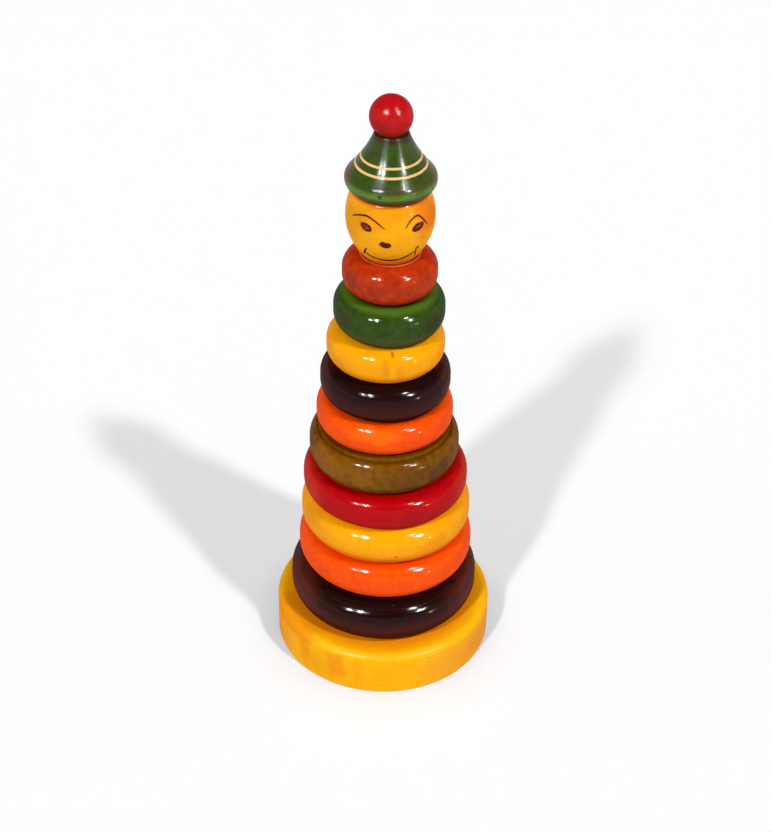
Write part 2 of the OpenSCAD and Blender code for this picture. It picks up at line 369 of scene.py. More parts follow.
@dataclass(frozen=True)
class LacFinish:
    """Lac-turned wood: coloured lac is melted onto the turning piece from a stick and rubbed up with a leaf.

    To the eye that is a clear, hard gloss over a colour that is uneven along the turning direction, in
    which the grain of the wood and small cloudy patches still show. The lac's own colour gets deeper
    clouds, streaks and turned rings, and thinner mottles, each as strong as the share of its name says.
    The scored lines are drawn a quarter of a millimetre wide, coarser than the real ones, so that they
    show. The leaf leaves fine grooves round the axis, which stretch the dull sheen under the gloss. Wood
    is bare within a distance of the axis and below a height. Sizes are in millimetres.
    """

    name: str
    lac: str
    deep: str
    thin: str
    cloud: float = 0.35
    cloud_size: float = 11.0
    mottle: float = 0.3
    mottle_size: float = 2.2
    streak: float = 0.08
    streak_wide: float = 2.6
    streak_long: float = 26.0
    turned: float = 0.2
    turned_wide: float = 0.9
    turned_deep: float = 0.0028
    speck: str = "#3a1a08"
    speck_share: float = 0.10
    speck_strength: float = 0.75
    roughness: float = 0.3
    cloud_roughness: float = 0.08
    index: float = 1.5
    sheen_under: float = 0.0
    grooved: float = 0.85
    grooved_turn: float = 0.25
    gloss: float = 0.10
    coat_index: float = 1.9
    coat_roughness: float = 0.12
    ripple: float = 0.008
    ripple_size: float = 3.2
    scored: float = 0.005
    scored_wide: float = 0.25
    bare_within: float = 0.0
    bare_below: float = -1000.0
    bare_pale: str = "#c79a63"
    bare_grain: str = "#9c6d3a"
    bare_wide: float = 0.8
    bare_long: float = 14.0
    bare_roughness: float = 0.4
    bands: tuple[Band, ...] = ()
    marks: tuple[Mark, ...] = ()

    def material(self, outer: float = 0.0, top: float = 0.0, aside: float = 0.0) -> Material:
        """Builds the finish as a material.

        Args:
            outer: The piece's outer radius, in millimetres, from which bands and marks are inset.
            top: The height of its top, from which they drop.
            aside: How far the piece's own axis lies to the right of the peg's.

        Returns:
            The material, which reads Object coordinates.
        """
        nodes = LacSurface(self.name, outer, top, aside)
        cloud = nodes.patches(self.cloud_size, detail=2)
        turned = nodes.turning(self.turned_wide)
        bare = nodes.bare_mask(self.bare_within, self.bare_below)
        bands = [(band, nodes.band_mask(band)) for band in self.bands]
        rough = nodes.reckon("MULTIPLY_ADD", cloud, self.cloud_roughness, self.roughness)
        coat = self.gloss
        for band, mask in bands:
            if band.dull:
                coat = nodes.reckon("MULTIPLY", coat, nodes.reckon("MULTIPLY_ADD", mask, -band.dull, 1.0))
        normal = self.relief(nodes, turned)
        around = nodes.add("ShaderNodeTangent", direction_type="RADIAL", axis="Z")
        return nodes.end(nodes.add("ShaderNodeBsdfPrincipled", {
            "Base Color": self.colour(nodes, cloud, turned, bare, bands),
            "Roughness": nodes.reckon("MULTIPLY_ADD", bare, self.bare_roughness, rough),
            "IOR": self.index, "Specular IOR Level": self.sheen_under,
            "Anisotropic": self.grooved, "Anisotropic Rotation": self.grooved_turn,
            "Tangent": around,
            "Coat Weight": nodes.reckon("MULTIPLY", nodes.reckon("SUBTRACT", 1.0, bare), coat),
            "Coat Roughness": self.coat_roughness, "Coat IOR": self.coat_index,
            "Normal": normal, "Coat Normal": normal}))

    def colour(self, nodes: LacSurface, cloud: Socket, turned: Socket, bare: Socket,
               bands: list[tuple[Band, Socket]]) -> Socket:
        """Mixes the colour: uneven lac, then bands, marks and dust on it, and bare wood where it has none.

        Args:
            nodes: The material's nodes.
            cloud: The mask of the large patches.
            turned: The mask of the turned rings.
            bare: The mask of the bare wood.
            bands: Each band with its mask.

        Returns:
            The socket of the colour.
        """
        mottle = nodes.patches(self.mottle_size, detail=4)
        grain = nodes.patches(self.streak_wide, detail=3, long=self.streak_long)
        fibre = nodes.patches(self.bare_wide, detail=3, long=self.bare_long)
        layers = [(self.deep, cloud, self.cloud), (self.thin, mottle, self.mottle),
                  (self.deep, grain, self.streak), (self.deep, turned, self.turned)]
        layers += [(band.colour, mask, band.strength) for band, mask in bands]
        layers += [(mark.colour, nodes.mark_mask(mark), mark.strength) for mark in self.marks]
        layers.append((self.speck, nodes.speck_mask(self.speck_share), self.speck_strength))
        layers.append((nodes.cover(self.bare_pale, self.bare_grain, fibre), bare, 1.0))
        colour = self.lac
        for over, mask, strength in layers:
            colour = nodes.cover(colour, over, mask, strength)
        return colour

    def relief(self, nodes: LacSurface, turned: Socket) -> Socket:
        """Raises the surface by soft ripples, turned rings and finer scored lines.

        Args:
            nodes: The material's nodes.
            turned: The mask of the turned rings.

        Returns:
            The socket of the normal.
        """
        bump = nodes.reckon("MULTIPLY", nodes.patches(self.ripple_size, detail=1), self.ripple)
        bump = nodes.reckon("MULTIPLY_ADD", turned, self.turned_deep, bump)
        bump = nodes.reckon("MULTIPLY_ADD", nodes.turning(self.scored_wide), self.scored, bump)
        return nodes.add("ShaderNodeBump", {"Height": bump, "Strength": 1.0, "Distance": MM}).outputs[0]


@dataclass(frozen=True)
class BareWood:
    """A planed hardwood dowel, rubbed smooth by the rings: pale, dull, with fine grain along its length.

    Sizes are in millimetres.
    """

    name: str = "bare dowel wood"
    pale: str = "#d2aa74"
    grain: str = "#a87a45"
    grain_wide: float = 0.7
    grain_long: float = 22.0
    grain_strength: float = 0.55
    tone: str = "#b98a52"
    tone_wide: float = 9.0
    tone_long: float = 60.0
    tone_strength: float = 0.3
    pore_deep: float = 0.05
    roughness: float = 0.58
    grain_roughness: float = 0.12
    index: float = 1.5

    def material(self) -> Material:
        """Builds the finish as a material.

        Returns:
            The material, which reads Object coordinates.
        """
        nodes = Surface(self.name)
        grain = nodes.patches(self.grain_wide, detail=4, long=self.grain_long)
        tone = nodes.patches(self.tone_wide, detail=1, long=self.tone_long)
        colour = nodes.cover(self.pale, self.grain, grain, self.grain_strength)
        bump = nodes.add("ShaderNodeBump", {
            "Height": grain, "Strength": 1.0, "Distance": -self.pore_deep * MM})
        return nodes.end(nodes.add("ShaderNodeBsdfPrincipled", {
            "Base Color": nodes.cover(colour, self.tone, tone, self.tone_strength),
            "Roughness": nodes.reckon("MULTIPLY_ADD", grain, self.grain_roughness, self.roughness),
            "IOR": self.index, "Normal": bump}))


@dataclass(frozen=True)
class BrushPaint:
    """Oil paint put on with a fine brush: full where the brush sat, thin and browner where it lifted.

    Sizes are in millimetres.
    """

    name: str
    full: str
    thin: str
    patch: float = 0.7
    patch_deep: float = 0.02
    thin_share: float = 0.6
    roughness: float = 0.3
    patch_roughness: float = 0.15
    index: float = 1.48
    sheen_under: float = 0.05
    coat: float = 0.15
    coat_roughness: float = 0.12

    def material(self) -> Material:
        """Builds the finish as a material.

        Returns:
            The material, which reads Object coordinates.
        """
        nodes = Surface(self.name)
        patches = nodes.patches(self.patch, detail=3)
        bump = nodes.add("ShaderNodeBump", {
            "Height": patches, "Strength": 1.0, "Distance": self.patch_deep * MM})
        return nodes.end(nodes.add("ShaderNodeBsdfPrincipled", {
            "Base Color": nodes.cover(self.full, self.thin, patches, self.thin_share),
            "Roughness": nodes.reckon("MULTIPLY_ADD", patches, self.patch_roughness, self.roughness),
            "IOR": self.index, "Specular IOR Level": self.sheen_under, "Coat Weight": self.coat,
            "Coat Roughness": self.coat_roughness, "Normal": bump}))


class Lac(Enum):
    """The sticks of lac that coloured the toy."""

    YELLOW = LacFinish("yellow lac-turned wood", "#fcb004", "#ea9402", "#ffbe04", cloud=0.3, speck_share=0.03)
    ORANGE = LacFinish("orange lac-turned wood", "#fa5402", "#e83c01", "#ff6e04", cloud=0.4, speck_share=0.03)
    AUBERGINE = LacFinish("aubergine lac-turned wood", "#1e0706", "#160404", "#2a0c0a",
                          speck="#6a4c3c", speck_share=0.16)
    CRIMSON = LacFinish("crimson lac-turned wood", "#b8010a", "#9c0209", "#c40614",
                        cloud=0.4, speck_share=0.04)
    OLIVE = LacFinish("olive lac-turned wood", "#744802", "#583402", "#926206", cloud=0.6, cloud_size=7.0,
                      mottle=0.6, mottle_size=3.0, streak=0.15)
    GREEN = LacFinish("green lac-turned wood", "#2e4a12", "#22360e", "#40601a", cloud=0.5, mottle=0.35,
                      mottle_size=2.6, speck="#160f08", speck_share=0.16)
    BRICK = LacFinish("brick-red lac-turned wood", "#b82c06", "#98280c", "#d24a0c", cloud=0.7, cloud_size=6.5,
                      mottle=0.55, mottle_size=3.0, streak=0.15)
    RED = LacFinish("red lac-turned bobble", "#c00a16", "#a0060c", "#cc1c24", cloud=0.6, cloud_size=5.0)
    CREAM = LacFinish("cream lac line", "#f6cf8c", "#e3b56c", "#fbdca0", cloud=0.3, cloud_size=2.0,
                      speck_share=0.0, coat_roughness=0.1)


BASE_FINISH = replace(
    Lac.YELLOW.value, name="yellow lac-turned wood, base", lac="#ffc20a", deep="#f5a806", thin="#ffce14",
    coat_roughness=0.34, gloss=0.07, cloud=0.45, cloud_size=14.0, bare_within=6.3, bare_below=0.05, bands=(
        # Painted shade: the band on the top round the rings is deeper orange where the stack shades the base.
        Band(11.5, 0.0, 19.0, "#ff8a06", 0.85, 0.85),), marks=(
        Mark(-46, 0.0, 9.0, 10, 18, "#ee8614", 0.45, 0.9),
        Mark(-25, 0.0, 10.0, 12, 17, "#ee8a10", 0.5, 1.0),
        Mark(-13, 0.0, 11.5, 7, 18, "#f09010", 0.35, 1.0),
        Mark(-33, 0.0, 13.0, 24, 14, "#f2960e", 0.2, 1.0),
        # Painted reflection: the paler, pinker patches at -78, 76 and 44 degrees on the side. Painted shade:
        # the patch at -62 on the top edge.
        Mark(-78, 0.0, 13.5, 44, 20, "#f29e40", 0.5, 0.5),
        Mark(76, 0.0, 13.5, 48, 20, "#f29c48", 0.65, 0.5),
        Mark(44, 0.0, 12.5, 46, 22, "#f09640", 0.35, 0.6),
        Mark(-62, 3.0, 1.5, 46, 12, "#ec860c", 0.6, 0.5)))
HEAD_FINISH = replace(
    Lac.YELLOW.value, name="yellow lac-turned wood, head", lac="#ffb904", deep="#f5a004", thin="#ffc404",
    bare_within=7.1, bands=(
        # Painted light and shade in the bands: a redder line in the brim's shade at the top, a painted
        # highlight line below it, and deeper orange at the foot.
        Band(2.7, 0.3, 2.4, "#e4500a", 0.7), Band(3.0, 1.9, 0.5, "#ffc648", 0.4),
        Band(6.0, 28.5, 7.0, "#e67c04", 0.5, 0.8)), marks=(
        # Painted shade in every mark: deeper orange down both sides, under the brim and at the chin.
        Mark(58, 0.8, 8.0, 20, 18, "#ee7204", 0.75, 0.7),
        Mark(-26, 0.8, 6.0, 24, 15, "#ec8a04", 0.5, 0.7),
        Mark(24, 2.0, 2.5, 20, 7, "#f98404", 0.5),
        Mark(-58, 0.8, 9.0, 16, 18, "#dc9408", 0.5),
        Mark(10, 0.0, 26.0, 16, 6, "#ee8a06", 0.4)))
HAT_FINISH = replace(
    Lac.GREEN.value, name="green lac-turned wood, hat", lac="#315014", deep="#20320e", thin="#42661a",
    sheen_under=0.09, gloss=0.105, coat_roughness=0.17, bands=(
        # Painted shade under the bobble (the dark band at the top), painted light on the brim's roll (bright
        # green) and painted shade on its underside.
        Band(12.0, 0.6, 5.6, "#3a1814", 0.85, 0.8), Band(0.2, 20.2, 4.2, "#5f8a1c", 0.8, 0.8),
        Band(1.5, 23.6, 3.6, "#55200c", 0.9, 0.5)), marks=(
        Mark(4, 1.5, 17.5, 8, 6, "#5a4a24", 0.5),
        Mark(34, 1.2, 17.5, 9, 7, "#4a4a1c", 0.5),
        # Painted warm reflection: the brownish patches at both sides, at 84 and -90 degrees.
        Mark(84, 0.8, 18.0, 16, 13, "#5a3a1c", 0.65),
        Mark(-90, 0.8, 17.0, 16, 14, "#6a3a22", 0.65),
        Mark(-13.1, 0.13, 19.7, 2.0, 1.9, "#1c0c08", 0.95, 0.4)))
BOBBLE_FINISH = replace(
    Lac.RED.value, gloss=0.13, coat_roughness=0.19, scored=0.012, bands=(
        # Painted shade: the brownish foot over the hat and the darker patch at the lower left. Painted light:
        # the paler patch at the right.
        Band(1.5, 15.2, 7.0, "#8a380c", 0.7),), marks=(
        Mark(-30, 0.5, 10.5, 7, 5, "#94060c", 0.6),
        Mark(70, 0.5, 7.0, 8, 12, "#d2262e", 0.4)))


# Geometry node trees

class Trees:
    """The geometry node trees that turn and paint the pieces."""

    SWEEP = {"Outline": "Geometry", "Path radius": "Float", "Segments": "Int", "Swell": "Float",
             "Swell size": "Float", "Seed": "Float"}
    # Swept points that lie closer together than this, in metres, close the surface's seam and poles.
    SEAM = 1e-6
    # How many points each corner of a ring's outline has before they are spaced out, and a brush's tip has.
    CORNER_POINTS = 24
    TIP_POINTS = 12

    def __init__(self) -> None:
        """Builds each tree once."""
        self.sweep = self.sweep_tree()
        self.piece = self.piece_tree()
        self.ring = self.ring_tree()
        self.stroke = self.stroke_tree()

    @staticmethod
    def start(name: str, sockets: dict[str, str]) -> tuple[Nodes, Sockets]:
        """Starts a tree with named inputs.

        Args:
            name: The tree's name.
            sockets: For each input's name, its socket type without the common start.

        Returns:
            The tree's nodes and its inputs' sockets.
        """
        tree = bpy.data.node_groups.new(name, "GeometryNodeTree")
        for label, kind in sockets.items():
            tree.interface.new_socket(label, in_out="INPUT", socket_type="NodeSocket" + kind)
        tree.interface.new_socket("Geometry", in_out="OUTPUT", socket_type="NodeSocketGeometry")
        nodes = Nodes(tree)
        return nodes, nodes.add("NodeGroupInput").outputs

    @staticmethod
    def close(nodes: Nodes, shape: Socket, material: Socket) -> Tree:
        """Ends a tree: smooth faces, no instances, and the material.

        Args:
            nodes: The tree's nodes.
            shape: The socket of the finished geometry.
            material: The socket of the material.

        Returns:
            The tree.
        """
        smooth = nodes.add("GeometryNodeSetShadeSmooth", {"Geometry": shape})
        real = nodes.add("GeometryNodeRealizeInstances", {"Geometry": smooth})
        coat = nodes.add("GeometryNodeSetMaterial", {"Geometry": real, "Material": material})
        nodes.add("NodeGroupOutput", {0: coat})
        return nodes.tree

    def sweep_tree(self) -> Tree:
        """Builds the tree that sweeps half an outline round the axis and lets the surface swell a little.

        Returns:
            The tree.
        """
        nodes, given = self.start("Sweep round the axis", self.SWEEP)
        circle = nodes.add("GeometryNodeCurvePrimitiveCircle", {
            "Resolution": given["Segments"], "Radius": given["Path radius"]})
        swept = nodes.add("GeometryNodeCurveToMesh", {
            "Curve": circle, "Profile Curve": given["Outline"]})
        closed = nodes.add("GeometryNodeMergeByDistance", {
            "Geometry": swept, "Distance": self.SEAM})
        cloud = nodes.add("ShaderNodeTexNoise", {
            "Vector": nodes.add("GeometryNodeInputPosition"), "W": given["Seed"],
            "Scale": nodes.reckon("DIVIDE", 1.0, given["Swell size"]), "Detail": 1.0}, noise_dimensions="4D")
        depth = nodes.reckon("MULTIPLY", cloud, nodes.reckon("MULTIPLY", given["Swell"], -1.0))
        normal = nodes.add("GeometryNodeInputNormal").outputs[0]
        moved = nodes.add("GeometryNodeSetPosition", {
            "Geometry": closed, "Offset": nodes.reckon("MULTIPLY", normal, depth, vectors=True)})
        nodes.add("NodeGroupOutput", {0: moved})
        return nodes.tree

    def piece_tree(self) -> Tree:
        """Builds the tree that turns a piece from a drawn half outline.

        Returns:
            The tree.
        """
        nodes, given = self.start("Turned piece", {**self.SWEEP, "Material": "Material"})
        handed_on = {name: given[name] for name in self.SWEEP}
        swept = nodes.add("GeometryNodeGroup", handed_on, node_tree=self.sweep)
        return self.close(nodes, swept.outputs[0], given["Material"])

    def ring_tree(self) -> Tree:
        """Builds the tree that turns a ring from its sizes alone, with a groove in its shoulder if asked.

        Returns:
            The tree.
        """
        own = ("Outer radius", "Thickness", "Edge radius", "Shoulder reach", "Hole radius", "Hole bevel",
               "Underside", "Point spacing", "Groove inset", "Groove half width", "Groove depth",
               "Groove step")
        handed_on = ("Segments", "Swell", "Swell size", "Seed")
        nodes, given = self.start("Turned ring", {
            **dict.fromkeys(own, "Float"), **{name: self.SWEEP[name] for name in handed_on},
            "Material": "Material"})
        edge, reach = given["Edge radius"], given["Shoulder reach"]
        wide = nodes.reckon("SUBTRACT", given["Outer radius"], given["Hole radius"])
        tall = nodes.reckon("ADD", nodes.reckon("SUBTRACT", given["Thickness"], edge), reach)
        block = nodes.add("GeometryNodeCurvePrimitiveQuadrilateral", {
            "Width": wide, "Height": tall}, mode="RECTANGLE")
        place = nodes.add("ShaderNodeSeparateXYZ", {0: nodes.add("GeometryNodeInputPosition")})
        corner = nodes.add("GeometryNodeSwitch", {
            "Switch": nodes.reckon("GREATER_THAN", place.outputs["Y"], 0.0), "False": reach, "True": edge,
        }, input_type="FLOAT")
        rounding = nodes.add("GeometryNodeSwitch", {
            "Switch": nodes.reckon("GREATER_THAN", place.outputs["X"], 0.0), "False": given["Hole bevel"],
            "True": corner}, input_type="FLOAT")
        rounded = nodes.add("GeometryNodeFilletCurve", {
            "Curve": block, "Radius": rounding, "Count": self.CORNER_POINTS,
        }, mode="POLY")
        fine = nodes.add("GeometryNodeResampleCurve", {
            "Curve": rounded, "Length": given["Point spacing"]}, mode="LENGTH")
        shoulder = self.shape_shoulder(nodes, given, fine.outputs[0], wide, tall)
        swept = nodes.add("GeometryNodeGroup", {
            "Outline": nodes.add("GeometryNodeReverseCurve", {"Curve": shoulder}),
            "Path radius": nodes.reckon("MULTIPLY", 0.5, nodes.reckon(
                "ADD", given["Outer radius"], given["Hole radius"])),
            **{name: given[name] for name in handed_on}}, node_tree=self.sweep)
        lift = nodes.reckon("MULTIPLY_ADD", tall, 0.5, given["Underside"])
        lifted = nodes.add("GeometryNodeTransform", {
            "Geometry": swept, "Translation": nodes.add("ShaderNodeCombineXYZ", {2: lift})})
        return self.close(nodes, lifted.outputs[0], given["Material"])

    @staticmethod
    def shape_shoulder(nodes: Nodes, given: Sockets, outline: Socket, wide: Socket, tall: Socket) -> Socket:
        """Presses the top shoulder's circle into an ellipse and dips the groove into it.

        Heights grow downwards here, because the sweep turns the outline's Y over.

        Args:
            nodes: The ring tree's nodes.
            given: The tree's inputs.
            outline: The socket of the rounded block's outline.
            wide: The socket of the block's width.
            tall: The socket of its height.

        Returns:
            The socket of the shaped outline.
        """
        place = nodes.add("ShaderNodeSeparateXYZ", {0: nodes.add("GeometryNodeInputPosition")})
        reach, half = given["Shoulder reach"], given["Groove half width"]
        start = nodes.reckon("SUBTRACT", nodes.reckon("MULTIPLY", tall, 0.5), reach)
        above = nodes.reckon("SUBTRACT", nodes.reckon("MULTIPLY", place.outputs["Y"], -1.0), start)
        over = nodes.reckon("MAXIMUM", above, 0.0)
        middle = nodes.reckon("SUBTRACT", nodes.reckon("MULTIPLY", wide, 0.5), given["Groove inset"])
        out = nodes.reckon("SUBTRACT", place.outputs["X"], middle)
        step = nodes.add("ShaderNodeMapRange", {
            "Value": out, "From Min": nodes.reckon("MULTIPLY", half, -1.0), "From Max": half,
            "To Max": given["Groove step"]}, interpolation_type="SMOOTHSTEP").outputs[0]
        rest = nodes.reckon("SUBTRACT", given["Edge radius"], step)
        press = nodes.reckon("SUBTRACT", 1.0, nodes.reckon("DIVIDE", rest, reach))
        dip = nodes.add("ShaderNodeMapRange", {
            "Value": nodes.reckon("ABSOLUTE", out), "From Min": half, "From Max": 0.0,
            "To Max": given["Groove depth"]}, interpolation_type="SMOOTHSTEP").outputs[0]
        dip = nodes.reckon("MULTIPLY", dip, nodes.reckon("LESS_THAN", place.outputs["Y"], 0.0))
        down = nodes.add("ShaderNodeCombineXYZ", {1: nodes.reckon("MULTIPLY_ADD", over, press, dip)})
        return nodes.add("GeometryNodeSetPosition", {
            "Geometry": outline, "Offset": down}).outputs[0]

    def stroke_tree(self) -> Tree:
        """Builds the tree that lays a brush stroke along a line on a barrel-shaped surface.

        The stroke is a tube as wide as the line's points say. Each of its points stays in its own plane
        through the axis, and is pressed there towards the circle that the barrel's side follows.

        Returns:
            The tree.
        """
        nodes, given = self.start("Brush stroke", {
            "Line": "Geometry", "Point spacing": "Float", "Barrel radius": "Float",
            "Barrel middle out": "Float", "Barrel middle up": "Float", "Flatness": "Float",
            "Material": "Material"})
        fine = nodes.add("GeometryNodeResampleCurve", {
            "Curve": given["Line"], "Length": given["Point spacing"]}, mode="LENGTH")
        brush = nodes.add("GeometryNodeCurvePrimitiveCircle", {"Resolution": self.TIP_POINTS, "Radius": 1.0})
        tube = nodes.add("GeometryNodeCurveToMesh", {
            "Curve": fine, "Profile Curve": brush,
            "Scale": nodes.add("GeometryNodeInputRadius"), "Fill Caps": True})
        place = nodes.add("GeometryNodeInputPosition").outputs[0]
        radius, height = nodes.meridian(place)
        barrel, middle_out = given["Barrel radius"], given["Barrel middle out"]
        middle_up = given["Barrel middle up"]
        out = nodes.reckon("SUBTRACT", radius, middle_out)
        up = nodes.reckon("SUBTRACT", height, middle_up)
        away = nodes.reckon("SQRT", nodes.reckon("MULTIPLY_ADD", out, out, nodes.reckon("MULTIPLY", up, up)))
        proud = nodes.reckon("SUBTRACT", away, barrel)
        pressed = nodes.reckon("MULTIPLY_ADD", proud, given["Flatness"], barrel)
        grow = nodes.reckon("DIVIDE", pressed, away)
        flat = nodes.reckon("MULTIPLY", place, (1, 1, 0), vectors=True)
        outwards = nodes.reckon("NORMALIZE", flat, vectors=True)
        new_radius = nodes.reckon("MULTIPLY_ADD", out, grow, middle_out)
        rise = nodes.add("ShaderNodeCombineXYZ", {2: nodes.reckon("MULTIPLY_ADD", up, grow, middle_up)})
        laid = nodes.add("GeometryNodeSetPosition", {
            "Geometry": tube, "Position": nodes.reckon(
                "MULTIPLY_ADD", outwards, new_radius, rise, vectors=True)})
        return self.close(nodes, laid.outputs[0], given["Material"])


# Making meshes and putting them in place

def link(name: str, data: bpy.types.ID) -> bpy.types.Object:
    """Makes an object of a mesh, curve, lamp or camera, and puts it in the scene."""
    thing = bpy.data.objects.new(name, data)
    bpy.context.scene.collection.objects.link(thing)
    return thing


def line_through(places: list[tuple[float, float, float]], closed: bool = False) -> bpy.types.Curve:
    """Draws a curve that runs straight from place to place.

    Args:
        places: The places, in metres.
        closed: Whether the last one joins the first.

    Returns:
        The curve.
    """
    curve = bpy.data.curves.new("line", "CURVE")
    curve.dimensions = "3D"
    spline = curve.splines.new("POLY")
    spline.points.add(len(places) - 1)
    for point, place in zip(spline.points, places):
        point.co = (*place, 1.0)
    spline.use_cyclic_u = closed
    return curve


def mesh_of(work: bmesh.types.BMesh, name: str, material: Material) -> bpy.types.Mesh:
    """Makes a mesh of faces that are done.

    Args:
        work: The faces, which are freed.
        name: The mesh's name.
        material: Its material.

    Returns:
        The mesh.
    """
    mesh = bpy.data.meshes.new(name)
    work.to_mesh(mesh)
    work.free()
    mesh.materials.append(material)
    return mesh


def closed_piece(name: str, mesh: bpy.types.Mesh) -> Piece:
    """Merges a mesh's doubles, points its faces outwards and makes a piece of it.

    Args:
        name: The piece's name.
        mesh: The mesh, whose material is kept.

    Returns:
        The piece.
    """
    work = bmesh.new()
    work.from_mesh(mesh)
    bmesh.ops.remove_doubles(work, verts=work.verts, dist=DOUBLES)
    bmesh.ops.recalc_face_normals(work, faces=work.faces)
    for face in work.faces:
        face.smooth = True
    work.to_mesh(mesh)
    work.free()
    mesh.name = name
    return link(name, mesh)


def bake(name: str, source: bpy.types.ID, tree: Tree, values: dict[str, object]) -> Piece:
    """Runs a node tree on a curve or mesh and keeps the result as a plain, closed mesh.

    Args:
        name: The new piece's name.
        source: The curve or mesh that the tree starts from.
        tree: The geometry node tree.
        values: The tree's inputs, by name.

    Returns:
        The piece, at the origin and without modifiers.
    """
    carrier = link(name + "_carrier", source)
    modifier = carrier.modifiers.new("tree", "NODES")
    modifier.node_group = tree
    for item in tree.interface.items_tree:
        if item.in_out == "INPUT" and item.name in values:
            modifier[item.identifier] = values[item.name]
    seen = carrier.evaluated_get(bpy.context.evaluated_depsgraph_get())
    mesh = bpy.data.meshes.new_from_object(seen)
    bpy.data.objects.remove(carrier)
    return closed_piece(name, mesh)


def join(name: str, parts: list[Piece]) -> Piece:
    """Joins meshes of one material into one piece.

    Args:
        name: The new piece's name.
        parts: The mesh objects, which are removed.

    Returns:
        The joined piece.
    """
    work = bmesh.new()
    for part in parts:
        work.from_mesh(part.data)
    mesh = mesh_of(work, name, parts[0].data.materials[0])
    for face in mesh.polygons:
        face.material_index = 0
        face.use_smooth = True
    for part in parts:
        bpy.data.objects.remove(part)
    return link(name, mesh)


def put_in_place(piece: Piece, node: str, body: str, aside: float) -> None:
    """Moves a finished piece's mesh to the right, not its object, and lets it stand for its solid.

    Args:
        piece: The piece's mesh object.
        node: The CAD node that it stands for.
        body: The body that it rides on.
        aside: How far it sits to the right of the peg's axis, in millimetres.
    """
    piece.data.transform(Matrix.Translation((aside * MM, 0, 0)))
    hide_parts(node)
    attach(piece, body)
    LOG.info("%s: %d faces", piece.name, len(piece.data.polygons))


# Outlines

class Outline:
    """Half of a turned piece's outline, drawn from the axis outwards and down, in millimetres."""

    # Into how many stretches a softened corner is cut, and a length that keeps a division off zero.
    BEND_STEPS = 4
    TINY = 1e-9

    def __init__(self, step: float = 0.5) -> None:
        """Starts an empty outline whose points lie about a step apart."""
        self.step = step
        self.points: list[Point] = []

    def line(self, *corners: Point, soften: float = 0.0) -> "Outline":
        """Runs straight through corners.

        Args:
            corners: The corners, as distance from the axis and height.
            soften: How far from a corner its rounding starts.

        Returns:
            The outline itself.
        """
        for place, corner in enumerate(corners):
            if soften > 0 and self.points and place < len(corners) - 1:
                before = self.towards(corner, self.points[-1], soften)
                after = self.towards(corner, corners[place + 1], soften)
                self.straight(before)
                for step in range(1, self.BEND_STEPS + 1):
                    self.points.append(self.bend(before, corner, after, step / self.BEND_STEPS))
            else:
                self.straight(corner)
        return self

    def straight(self, end: Point) -> None:
        """Adds points up to an end, a step apart."""
        if not self.points:
            self.points.append(end)
            return
        start = self.points[-1]
        count = max(1, round(math.dist(start, end) / self.step))
        self.points += [self.between(start, end, turn / count) for turn in range(1, count + 1)]

    @staticmethod
    def between(start: Point, end: Point, share: float) -> Point:
        """Gives the point that lies a share of the way from the start to the end."""
        return (start[0] + (end[0] - start[0]) * share, start[1] + (end[1] - start[1]) * share)

    @classmethod
    def towards(cls, start: Point, end: Point, way: float) -> Point:
        """Gives the point that lies a way from the start, towards the end, but at most halfway."""
        return cls.between(start, end, min(0.5, way / max(math.dist(start, end), cls.TINY)))

    @staticmethod
    def bend(before: Point, corner: Point, after: Point, share: float) -> Point:
        """Gives a point of the rounding between two points beside a corner."""
        weights = ((1 - share) ** 2, 2 * share * (1 - share), share ** 2)
        return tuple(sum(w * p[axis] for w, p in zip(weights, (before, corner, after))) for axis in (0, 1))

    def arc(self, centre: Point, radius: float, start: float, end: float) -> "Outline":
        """Follows a circle.

        Args:
            centre: Its middle.
            radius: Its radius.
            start: The angle where it starts, in degrees from outwards, growing upwards.
            end: The angle where it ends.

        Returns:
            The outline itself.
        """
        count = max(3, round(abs(math.radians(end - start)) * radius / self.step))
        for turn in range(count + 1):
            angle = math.radians(start + (end - start) * turn / count)
            self.points.append((centre[0] + radius * math.cos(angle), centre[1] + radius * math.sin(angle)))
        return self

    def curve(self, path_radius: float, closed: bool = False) -> bpy.types.Curve:
        """Makes the curve that a sweep takes as its profile, which the sweep turns upside down.

        Args:
            path_radius: The radius of the sweep's circle, in millimetres.
            closed: Whether the last point joins the first.

        Returns:
            The curve, in metres.
        """
        return line_through([((out - path_radius) * MM, -up * MM, 0.0) for out, up in self.points], closed)


# Pieces

@dataclass
class TurnedPiece:
    """A piece that is turned from one outline and stands for one solid. Its sizes are in millimetres.

    It sits a little aside of the peg's axis, as a loose piece does, but never more than its play.
    """

    node: str
    body: str
    slot: str
    finish: LacFinish
    seed: float = 0.0
    segments: int = 192
    swell: float = 0.04
    swell_size: float = 14.0
    path_radius: float = 10.0
    aside: float = 0.0

    def __post_init__(self) -> None:
        """Takes the solid's lowest and highest corners from model.glb, in millimetres."""
        self.low, self.high = (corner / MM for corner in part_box(self.node))
        self.outer = (self.high.x - self.low.x) / 2

    def outline(self) -> Outline:
        """Draws half the piece's outline, with heights measured from the table."""
        raise NotImplementedError

    def sweep_values(self) -> dict[str, object]:
        """Gives what the trees of all turned pieces ask for, in metres."""
        return {"Segments": self.segments, "Swell": self.swell * MM, "Swell size": self.swell_size * MM,
                "Seed": self.seed, "Material": self.finish.material(self.outer, self.high.z, self.aside)}

    def build(self, trees: Trees) -> Piece:
        """Turns the piece.

        Args:
            trees: The node trees.

        Returns:
            The piece's mesh object.
        """
        return bake(self.node + "_wood", self.outline().curve(self.path_radius), trees.piece,
                    {"Path radius": self.path_radius * MM, **self.sweep_values()})

    def make(self, trees: Trees) -> None:
        """Turns the piece and puts it in its solid's place."""
        put_in_place(self.build(trees), self.node, self.body, self.aside)


@dataclass
class Groove:
    """A groove in a ring's top, outside which the shoulder lies lower, in millimetres."""

    inset: float = 3.7
    half_width: float = 0.8
    deep: float = 0.35
    step: float = 1.5


